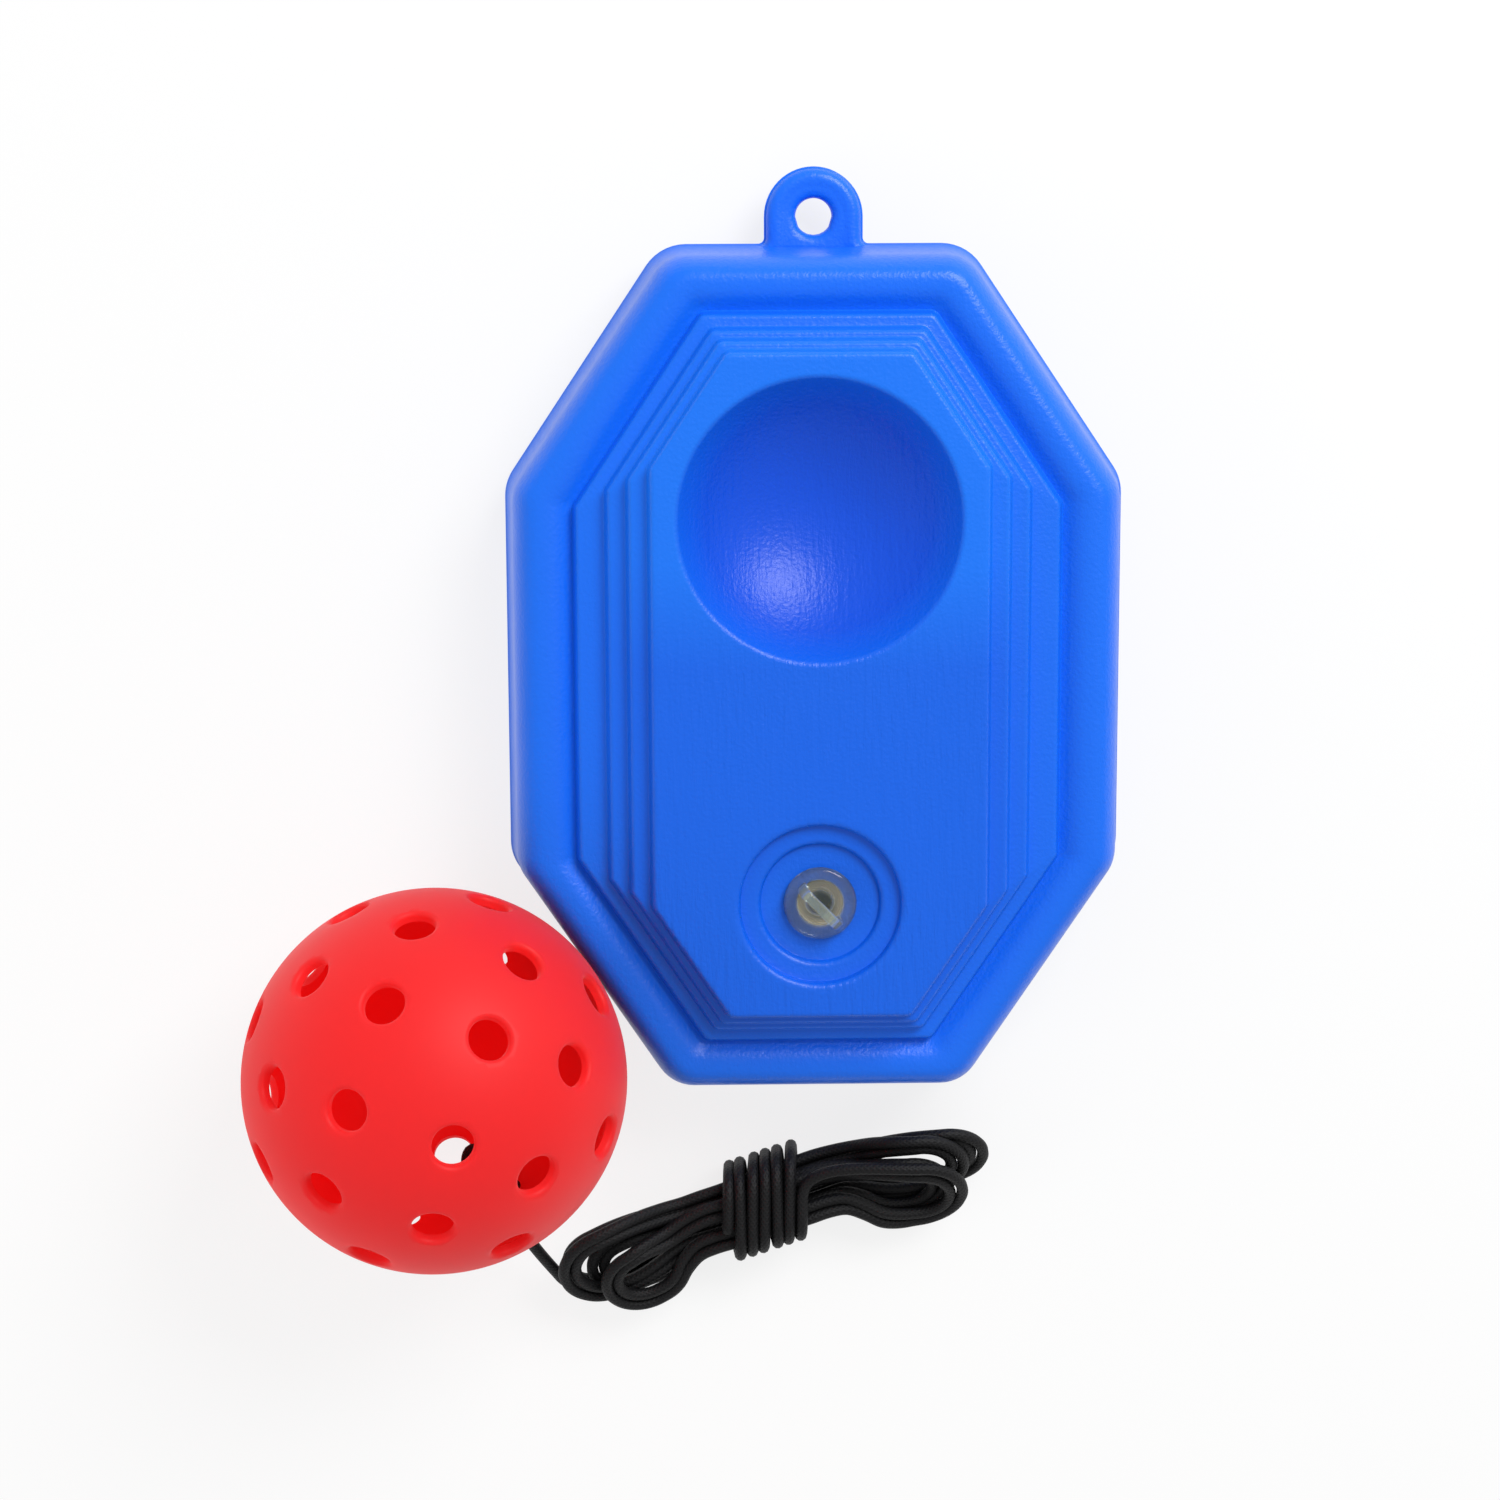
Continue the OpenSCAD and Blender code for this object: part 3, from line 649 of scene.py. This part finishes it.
def wrapPlace(turn):
    # a rounded box around the waist, from the middle of its top
    corner = hank["wrapCorner"]
    cv, cz = wrapHalf - corner, (wrapHigh - bottomZ) / 2 - corner
    bend = math.pi / 2 * corner
    lengths = [cv, bend, 2 * cz, bend, 2 * cv, bend, 2 * cz, bend, cv]
    s = (turn - math.floor(turn)) * sum(lengths)
    i = 0
    while s > lengths[i] and i < len(lengths) - 1:
        s -= lengths[i]
        i += 1
    c, d = corner * math.cos(s / corner), corner * math.sin(s / corner)
    v, z = ((-s, cz + corner), (-cv - d, cz + c), (-wrapHalf, cz - s),
            (-cv - c, -cz - d), (-cv + s, -cz - corner), (cv + d, -cz - c),
            (wrapHalf, -cz + s), (cv + c, cz + d), (cv - s, cz + corner))[i]
    lean = hank["wrapLean"] + hank["wrapSway"] * math.sin(hank["swayTurn"] * turn)
    along = hank["wrapPitch"] * (hank["wraps"] / 2 - turn) + lean * v
    return along, wrapMid + v, (bottomZ + wrapHigh) / 2 + z


def smoothLine(points, spacing, cuts=8):
    # a Catmull-Rom curve through the points, then places at one spacing along it
    fine = []
    for i in range(len(points) - 1):
        p0, p1 = points[max(0, i - 1)], points[i]
        p2, p3 = points[i + 1], points[min(len(points) - 1, i + 2)]
        square, cube = 2 * p0 - 5 * p1 + 4 * p2 - p3, 3 * p1 - p0 - 3 * p2 + p3
        for x in (k / cuts for k in range(cuts)):
            fine.append(0.5 * (2 * p1 + (p2 - p0) * x + square * x * x + cube * x ** 3))
    fine.append(points[-1])
    placed, left = [fine[0]], spacing
    for a, b in zip(fine, fine[1:]):
        size = (b - a).length
        at = left
        while at <= size and size > 0:
            placed.append(a.lerp(b, at / size))
            at += spacing
        left = at - size
    return placed


def knotRoute():
    # a coil, then back up through its middle to the hole
    r, pitch, perTurn = cord["knotRadius"], cord["knotPitch"], 24
    low = -pitch * cord["knotTurns"]
    angles = [2 * math.pi * i / perTurn for i in range(int(perTurn * cord["knotTurns"]) + 1)]
    knot = [(r * math.cos(a), r * math.sin(a), -pitch * a / (2 * math.pi)) for a in angles]
    knot += [(x, y, low + z) for x, y, z in cord["knotFoot"]] + [(0, 0, 0), (0, 0, cord["diameter"])]
    side = Vector((0, 0, 1)).cross(cordWay).normalized()
    other = cordWay.cross(side)
    top = ball["diameter"] / 2 - cord["knotDepth"]
    return [cordFoot + side * x + other * y + cordWay * (top + z) for x, y, z in knot]


def swing(start, wayOut, end, wayIn):
    # places on an easy curve from one way to another
    pull = (end - start).length
    made = []
    for x in (0.15, 0.3, 0.45, 0.6, 0.75, 0.88):
        aim = wayOut.normalized() * (1 - x) - wayIn.normalized() * x
        made.append(start.lerp(end, eased(x)) + aim * pull * x * (1 - x))
    return made


def cordRoute():
    outside, fromKnot = ball["diameter"] / 2, cord["diameter"] - cord["knotDepth"]
    route = [cordFoot + cordWay * (outside + d) for d in (fromKnot, *cord["leadOut"])]
    first, last = hank["firstTurn"], hank["loops"] * hank["layers"] - hank["lastTurn"]
    cuts, wrapCuts = hank["loopCuts"], hank["wrapCuts"]
    loops = [onFloor(loopPlace(first + i / cuts)) for i in range(int((last - first) * cuts) + 1)]
    route += swing(route[-1], cordWay, loops[0], loops[1] - loops[0]) + loops
    turns = [onFloor(wrapPlace(k / wrapCuts)) for k in range(wrapCuts * hank["wraps"] + hank["wrapTail"])]
    route += swing(loops[-1], loops[-1] - loops[-2], turns[0], turns[1] - turns[0]) + turns
    return route


def makeTube(name, line, material):
    # a round tube with a sheet of UV: u counts the weave's repeats along it, v goes once around
    count, end = cord["sides"], len(line) - 1
    ways = [(line[min(i + 1, end)] - line[max(i - 1, 0)]).normalized() for i in range(end + 1)]
    side = Vector((0.1, 0.2, 1)).cross(ways[0]).normalized()
    points, run = [], [0.0]
    for i, (p, way) in enumerate(zip(line, ways)):
        side = (side - way * side.dot(way)).normalized()
        other = way.cross(side)
        shrink = cord["endTaper"] if i in (0, end) else 1
        for a in (2 * math.pi * j / count for j in range(count)):
            points.append(p + (side * math.cos(a) + other * math.sin(a)) * cordR * shrink)
        if i:
            run.append(run[-1] + (p - line[i - 1]).length)
    faces = ringFaces(len(line), count) + capFaces(len(line), count)
    made = meshObject(name, points, faces, material)
    sheet = made.data.uv_layers.new(name="braid")
    for poly in made.data.polygons:
        poly.use_smooth = True
        i, j = divmod(poly.index, count)
        for corner, (di, dj) in zip(poly.loop_indices, ((0, 0), (0, 1), (1, 1), (1, 0))):
            if i < end:
                sheet.data[corner].uv = (run[i + di] / braid["pitch"], (j + dj) / count)
    return made, run[-1]


# blow-moulded polyethylene: satin, with draw lines along it and a slight orange peel where it shines
# the peel is drawn a little coarser than the specks in the photo, so that it shows
blue = {
    # rim and plateau are painted shade, deeper toward the top, bowl is painted shade down the recess, and
    # the tone beside the bowl is painted light
    "rim": "#106CEE", "plateau": "#0A60E0", "paintedLightBesideBowl": "#0F71ED", "bowl": "#044FD4",
    "roughness": (0.28, 0.42), "ior": 1.48, "specular": 0.38,
    "lineSize": (1.05, 9, 3.3), "lineDepth": 0.35, "lineLeast": 0.12, "lineInBowl": 0.3,
    "peelSize": 0.75, "peelDepth": 0.18, "peelStrength": 0.6,
    "cloudSize": 45, "cloudShare": 0.3, "patch": (0.35, 0.6), "patchLeast": 0.35,
    # where each tone starts and ends, from the bowl's edge, from its middle and down from the plateau
    "edge": (0.5, -0.5), "beside": (-28, -6),
    "bowlDown": (0.2, 6), "plateauDown": 0.5, "linesDown": (0.6, 0.1),
}


def bluePolyethylene():
    made, tree = newMaterial("blowMouldedPolyethylene")
    top, mouth = base["height"], recess["mouth"] / 2
    place = addNode(tree, "ShaderNodeTexCoord").outputs["Object"]
    apart = addNode(tree, "ShaderNodeSeparateXYZ", {"Vector": place}).outputs
    stretch = [1 / (size * mm) for size in blue["lineSize"]]
    stretched = addNode(tree, "ShaderNodeMapping", {"Vector": place, "Scale": stretch}).outputs[0]
    lines = addNode(tree, "ShaderNodeTexNoise", {
        "Vector": stretched, "Scale": 1, "Detail": 3, "Roughness": 0.6}).outputs[0]
    peel = addNode(tree, "ShaderNodeTexNoise", {
        "Vector": place, "Scale": 1 / (blue["peelSize"] * mm), "Detail": 2}).outputs[0]
    cloud = addNode(tree, "ShaderNodeTexNoise", {
        "Vector": place, "Scale": 1 / (blue["cloudSize"] * mm), "Detail": 2}).outputs[0]
    # the tone is matched to the photo with painted shade: deeper from the rim up to the plateau, and down
    # the bowl
    bowlPlace = (0, recess["y"] * mm, top * mm)
    fromBowl = addNode(tree, "ShaderNodeVectorMath", {0: place, 1: bowlPlace}, operation="DISTANCE")
    nearBowl = addNode(tree, "ShaderNodeMapRange", {
        "Value": fromBowl.outputs["Value"], "From Min": (mouth + blue["edge"][0]) * mm,
        "From Max": (mouth + blue["edge"][1]) * mm}).outputs[0]
    below = addNode(tree, "ShaderNodeMapRange", {
        "Value": apart["Z"], "From Min": (top - blue["bowlDown"][0]) * mm,
        "From Max": (top - blue["bowlDown"][1]) * mm}).outputs[0]
    inBowl = addNode(tree, "ShaderNodeMath", {0: nearBowl, 1: below}, operation="MULTIPLY").outputs[0]
    climb = addNode(tree, "ShaderNodeMapRange", {
        "Value": apart["Z"], "From Min": base["rimZ"] * mm,
        "From Max": (top - blue["plateauDown"]) * mm}).outputs[0]
    climb = addNode(tree, "ShaderNodeMath", {
        0: cloud, 1: blue["cloudShare"], 2: climb}, operation="MULTIPLY_ADD").outputs[0]
    # the ramp from the lighter rim to the deeper plateau is painted shade, with random cloudy patches over
    # it
    outside = addNode(tree, "ShaderNodeValToRGB", {"Fac": climb})
    outside.color_ramp.elements[0].color = linear(blue["rim"])
    outside.color_ramp.elements[1].color = linear(blue["plateau"])
    # beside the bowl the plateau is lighter there with painted light, growing toward the tab end, and shows
    # no draw lines
    paintedLightBesideBowl = addNode(tree, "ShaderNodeMapRange", {
        "Value": apart["Y"], "From Min": (recess["y"] + blue["beside"][0]) * mm,
        "From Max": (recess["y"] + blue["beside"][1]) * mm}).outputs[0]
    light = addNode(tree, "ShaderNodeMath", {
        0: paintedLightBesideBowl, 1: climb}, operation="MULTIPLY", use_clamp=True).outputs[0]
    light = addNode(tree, "ShaderNodeMath", {
        0: light, 1: nearBowl}, operation="SUBTRACT", use_clamp=True).outputs[0]
    tint = outside.outputs[0]
    # over the ramp go the painted light beside the bowl and the painted shade down the bowl
    for share, tone in ((light, blue["paintedLightBesideBowl"]), (inBowl, blue["bowl"])):
        tint = addNode(tree, "ShaderNodeMix", {
            "Factor": share, "A": tint, "B": linear(tone)}, data_type="RGBA").outputs["Result"]
    # the draw lines are deep on the plateau, in patches, less so in the bowl, and faint elsewhere
    onTop = addNode(tree, "ShaderNodeMapRange", {
        "Value": apart["Z"], "From Min": (top - blue["linesDown"][0]) * mm,
        "From Max": (top - blue["linesDown"][1]) * mm}).outputs[0]
    onTop = addNode(tree, "ShaderNodeMath", {
        0: onTop, 1: paintedLightBesideBowl}, operation="SUBTRACT", use_clamp=True).outputs[0]
    patch = addNode(tree, "ShaderNodeMapRange", {
        "Value": cloud, "From Min": blue["patch"][0], "From Max": blue["patch"][1],
        "To Min": blue["patchLeast"]}).outputs[0]
    deep = addNode(tree, "ShaderNodeMath", {0: onTop, 1: patch}, operation="MULTIPLY").outputs[0]
    deep = addNode(tree, "ShaderNodeMath", {0: deep, 1: blue["lineLeast"]}, operation="MAXIMUM").outputs[0]
    deep = addNode(tree, "ShaderNodeMath", {
        0: inBowl, 1: blue["lineInBowl"], 2: deep}, operation="MULTIPLY_ADD").outputs[0]
    grain = addNode(tree, "ShaderNodeBump", {
        "Height": lines, "Strength": deep, "Distance": blue["lineDepth"] * mm}).outputs[0]
    skin = addNode(tree, "ShaderNodeBump", {
        "Height": peel, "Strength": blue["peelStrength"], "Distance": blue["peelDepth"] * mm,
        "Normal": grain}).outputs[0]
    rough = addNode(tree, "ShaderNodeMapRange", {
        "Value": lines, "To Min": blue["roughness"][0], "To Max": blue["roughness"][1]}).outputs[0]
    shade = addNode(tree, "ShaderNodeBsdfPrincipled", {
        "Base Color": tint, "Roughness": rough, "Normal": skin, "IOR": blue["ior"],
        "Specular IOR Level": blue["specular"]})
    addNode(tree, "ShaderNodeOutputMaterial", {"Surface": shade.outputs[0]})
    return made


# injection-moulded polyethylene: satin, and its thin wall lets light through
red = {
    "skin": "#FF383B", "through": "#FF3A3C", "thin": 0.55, "roughness": 0.5, "ior": 1.45,
    "sheen": 0.3, "sheenRoughness": 0.45, "grainSize": 0.625, "grainDepth": 0.03, "grainStrength": 0.3,
}


def redPolyethylene():
    made, tree = newMaterial("injectionMouldedPolyethylene")
    place = addNode(tree, "ShaderNodeTexCoord").outputs["Object"]
    grain = addNode(tree, "ShaderNodeTexNoise", {
        "Vector": place, "Scale": 1 / (red["grainSize"] * mm), "Detail": 2}).outputs[0]
    skin = addNode(tree, "ShaderNodeBump", {
        "Height": grain, "Strength": red["grainStrength"], "Distance": red["grainDepth"] * mm}).outputs[0]
    shade = addNode(tree, "ShaderNodeBsdfPrincipled", {
        "Base Color": linear(red["skin"]), "Roughness": red["roughness"], "Normal": skin, "IOR": red["ior"],
        "Sheen Weight": red["sheen"], "Sheen Roughness": red["sheenRoughness"]})
    through = addNode(tree, "ShaderNodeBsdfTranslucent", {"Color": linear(red["through"]), "Normal": skin})
    mixed = addNode(tree, "ShaderNodeMixShader", {
        0: red["thin"], 1: shade.outputs[0], 2: through.outputs[0]}).outputs[0]
    addNode(tree, "ShaderNodeOutputMaterial", {"Surface": mixed})
    return made


# soft clear vinyl: colourless in the flange and strap, tan and cloudy in the thicker stem below the seat,
# and on the flange a painted refraction: the tan stem seen through it as a ring
vinyl = {
    "clear": "#E2EEE8", "tan": "#C8AE7E", "roughness": 0.07, "ior": 1.42,
    "milk": 0.035, "strapMilk": 0.09, "tanMilk": 0.5,
    "stemDown": (1.3, 1.9), "strapUp": (2, 2.6),
    # how tan the flange looks at each radius, as a grey, within ringReach: a painted refraction of the tan
    # stem seen through it
    "ring": ((2, "#000000"), (3.3, "#B0B0B0"), (4, "#B0B0B0"), (4.9, "#000000")), "ringReach": 10,
}


def clearVinyl():
    made, tree = newMaterial("softClearVinyl")
    place = addNode(tree, "ShaderNodeTexCoord").outputs["Object"]
    high = addNode(tree, "ShaderNodeSeparateXYZ", {"Vector": place}).outputs["Z"]
    below = addNode(tree, "ShaderNodeMapRange", {
        "Value": high, "From Min": (plugSeat - vinyl["stemDown"][0]) * mm,
        "From Max": (plugSeat - vinyl["stemDown"][1]) * mm}).outputs[0]
    strap = addNode(tree, "ShaderNodeMapRange", {
        "Value": high, "From Min": (plugSeat + vinyl["strapUp"][0]) * mm,
        "From Max": (plugSeat + vinyl["strapUp"][1]) * mm}).outputs[0]
    flat = addNode(tree, "ShaderNodeVectorMath", {0: place, 1: (1, 1, 0)}, operation="MULTIPLY").outputs[0]
    axis = (0, filler["y"] * mm, 0)
    out = addNode(tree, "ShaderNodeVectorMath", {0: flat, 1: axis}, operation="DISTANCE").outputs["Value"]
    share = addNode(tree, "ShaderNodeMath", {
        0: out, 1: 1 / (vinyl["ringReach"] * mm)}, operation="MULTIPLY").outputs[0]
    ring = addNode(tree, "ShaderNodeValToRGB", {"Fac": share})
    stops = ring.color_ramp.elements
    for radius, tone in vinyl["ring"]:
        stops.new(radius / vinyl["ringReach"]).color = linear(tone)
    stops.remove(stops[0])
    stops.remove(stops[-1])
    low = addNode(tree, "ShaderNodeMath", {0: 1, 1: strap}, operation="SUBTRACT").outputs[0]
    # cloud is the stem's own tan below the seat, plus the painted refraction ring on the flange, left off
    # the strap
    cloud = addNode(tree, "ShaderNodeMath", {
        0: ring.outputs[0], 1: low, 2: below}, operation="MULTIPLY_ADD", use_clamp=True).outputs[0]
    tint = addNode(tree, "ShaderNodeMix", {
        "Factor": cloud, "A": linear(vinyl["clear"]), "B": linear(vinyl["tan"])}, data_type="RGBA")
    milky = addNode(tree, "ShaderNodeMath", {
        0: strap, 1: vinyl["strapMilk"], 2: vinyl["milk"]}, operation="MULTIPLY_ADD").outputs[0]
    milky = addNode(tree, "ShaderNodeMath", {
        0: cloud, 1: vinyl["tanMilk"], 2: milky}, operation="MULTIPLY_ADD").outputs[0]
    clear = addNode(tree, "ShaderNodeMath", {
        0: 1, 1: milky}, operation="SUBTRACT", use_clamp=True).outputs[0]
    shade = addNode(tree, "ShaderNodeBsdfPrincipled", {
        "Base Color": tint.outputs["Result"], "Transmission Weight": clear,
        "Roughness": vinyl["roughness"], "IOR": vinyl["ior"]})
    addNode(tree, "ShaderNodeOutputMaterial", {"Surface": shade.outputs[0]})
    return made


# elastic cord in a braided polyester sheath: black, with a fine diamond weave
braid = {
    "dark": "#020203", "light": "#101012", "roughness": 0.6, "specular": 0.3,
    "strands": 8, "pitch": 1.18, "depth": 0.1, "strength": 0.7,
}


def blackBraid():
    made, tree = newMaterial("braidedPolyesterSheath")
    sheet = addNode(tree, "ShaderNodeUVMap", uv_map="braid").outputs[0]
    along = addNode(tree, "ShaderNodeSeparateXYZ", {"Vector": sheet}).outputs
    waves = []
    for way in (1, -1):
        around = addNode(tree, "ShaderNodeMath", {
            0: along["Y"], 1: 2 * math.pi * braid["strands"] * way}, operation="MULTIPLY").outputs[0]
        phase = addNode(tree, "ShaderNodeMath", {
            0: along["X"], 1: 2 * math.pi, 2: around}, operation="MULTIPLY_ADD").outputs[0]
        waves.append(addNode(tree, "ShaderNodeMath", {0: phase}, operation="SINE").outputs[0])
    weave = addNode(tree, "ShaderNodeMath", {0: waves[0], 1: waves[1]}, operation="MAXIMUM").outputs[0]
    lift = addNode(tree, "ShaderNodeMapRange", {"Value": weave, "From Min": -1}).outputs[0]
    # the weave's colour is painted shade between the strands and a painted highlight on their tops
    tint = addNode(tree, "ShaderNodeValToRGB", {"Fac": lift})
    tint.color_ramp.elements[0].color = linear(braid["dark"])
    tint.color_ramp.elements[1].color = linear(braid["light"])
    bump = addNode(tree, "ShaderNodeBump", {
        "Height": lift, "Strength": braid["strength"], "Distance": braid["depth"] * mm}).outputs[0]
    shade = addNode(tree, "ShaderNodeBsdfPrincipled", {
        "Base Color": tint.outputs[0], "Roughness": braid["roughness"], "Normal": bump,
        "Specular IOR Level": braid["specular"]})
    addNode(tree, "ShaderNodeOutputMaterial", {"Surface": shade.outputs[0]})
    return made


# painted board: white to the camera, and still taking the object's shadow
board = {
    "paint": "#F2F2F2", "white": "#FFFFFF", "share": 0.8,  # how white it is near the object
    "fade": (300, 800), "reach": 20000, "z": -0.2,
}


def whiteBoard():
    made, tree = newMaterial("whitePaintedBoard")
    rays = addNode(tree, "ShaderNodeLightPath").outputs
    seen = rays["Is Camera Ray"]
    for kind in ("Is Glossy Ray", "Is Transmission Ray"):
        seen = addNode(tree, "ShaderNodeMath", {0: seen, 1: rays[kind]}, operation="MAXIMUM").outputs[0]
    # far from the object the board goes over into plain white
    place = addNode(tree, "ShaderNodeTexCoord").outputs["Object"]
    away = addNode(tree, "ShaderNodeVectorMath", {0: place}, operation="LENGTH").outputs["Value"]
    white = addNode(tree, "ShaderNodeMapRange", {
        "Value": away, "From Min": board["fade"][0] * mm, "From Max": board["fade"][1] * mm,
        "To Min": board["share"]}).outputs[0]
    share = addNode(tree, "ShaderNodeMath", {0: seen, 1: white}, operation="MULTIPLY").outputs[0]
    matt = addNode(tree, "ShaderNodeBsdfDiffuse", {"Color": linear(board["paint"])}).outputs[0]
    glow = addNode(tree, "ShaderNodeEmission", {"Color": linear(board["white"]), "Strength": 1}).outputs[0]
    mixed = addNode(tree, "ShaderNodeMixShader", {0: share, 1: matt, 2: glow}).outputs[0]
    addNode(tree, "ShaderNodeOutputMaterial", {"Surface": mixed})
    return made


# stage: a board, a pale room, a lamp at the upper right, a weak one at the left, and the camera from above
studio = {
    "sky": "#FFFFFF", "skyLight": 0.5,
    "lamps": (("key", (460, 660, 770), 550, 10), ("fill", (-900, -250, 350), 700, 2.8)),
    "lens": 79.2, "sensor": 36, "near": 10, "eye": (-26.57, 93.84, 653.67),
    "eyeTurns": ((-1.233, "Y"), (-9.697, "X"), (-0.247, "Z")),
}


def setStage():
    scene = bpy.context.scene
    scene.view_settings.view_transform = "Standard"
    world = bpy.data.worlds.new("softRoom")
    scene.world = world
    world.use_nodes = True
    tree = world.node_tree
    tree.nodes.clear()
    rays = addNode(tree, "ShaderNodeLightPath").outputs
    strength = addNode(tree, "ShaderNodeMapRange", {
        "Value": rays["Is Camera Ray"], "To Min": studio["skyLight"], "To Max": 1}).outputs[0]
    sky = addNode(tree, "ShaderNodeBackground", {"Color": linear(studio["sky"]), "Strength": strength})
    addNode(tree, "ShaderNodeOutputWorld", {"Surface": sky.outputs[0]})
    corners = [(x * board["reach"], y * board["reach"], board["z"])
               for x, y in ((-1, -1), (1, -1), (1, 1), (-1, 1))]
    floor = meshObject("floor", corners, [(0, 1, 2, 3)], whiteBoard())
    for name, place, size, power in studio["lamps"]:
        lamp = bpy.data.lights.new(name, "AREA")
        lamp.size = size * mm
        lamp.energy = power
        thing = bpy.data.objects.new(name, lamp)
        scene.collection.objects.link(thing)
        thing.location = Vector(place) * mm
        thing.visible_glossy = name == "key"
        thing.rotation_euler = (-Vector(place)).to_track_quat("-Z", "Y").to_euler()
    view = bpy.data.cameras.new("camera")
    view.sensor_width = studio["sensor"]
    view.lens = studio["lens"]
    view.clip_start = studio["near"] * mm
    eye = bpy.data.objects.new("camera", view)
    scene.collection.objects.link(eye)
    stand = Matrix.Translation(Vector(studio["eye"]) * mm)
    for angle, axis in studio["eyeTurns"]:
        stand = stand @ Matrix.Rotation(math.radians(angle), 4, axis)
    eye.matrix_world = stand
    scene.camera = eye


setStage()
print("stage set")
sheath = blackBraid()
cordLine = smoothLine(cordRoute(), cord["spacing"])
cordPiece, cordLength = makeTube("elasticCord", cordLine, sheath)
knotPiece, knotLength = makeTube("stopperKnot", smoothLine(knotRoute(), cord["knotSpacing"]), sheath)
print("cord made, %.0f mm long and %.0f mm in its knot" % (cordLength, knotLength))
basePiece = makeBase(bluePolyethylene())
print("base made,", len(basePiece.data.polygons), "faces")
ballPiece = makeBall(redPolyethylene())
print("ball made,", len(ballPiece.data.polygons), "faces")
plugPiece = makePlug(clearVinyl())
print("plug made,", len(plugPiece.data.polygons), "faces")

for piece, body, nodes in ((basePiece, "base", ["base_shell"]), (ballPiece, "ball", ["ball_shell"]),
                           (plugPiece, "plug", ["filler_plug"]),
                           (cordPiece, "cord", ["cord_lead", "cord_hank"]),
                           (knotPiece, "cord", ["cord_knot"])):
    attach(piece, body)
    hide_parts(*nodes)
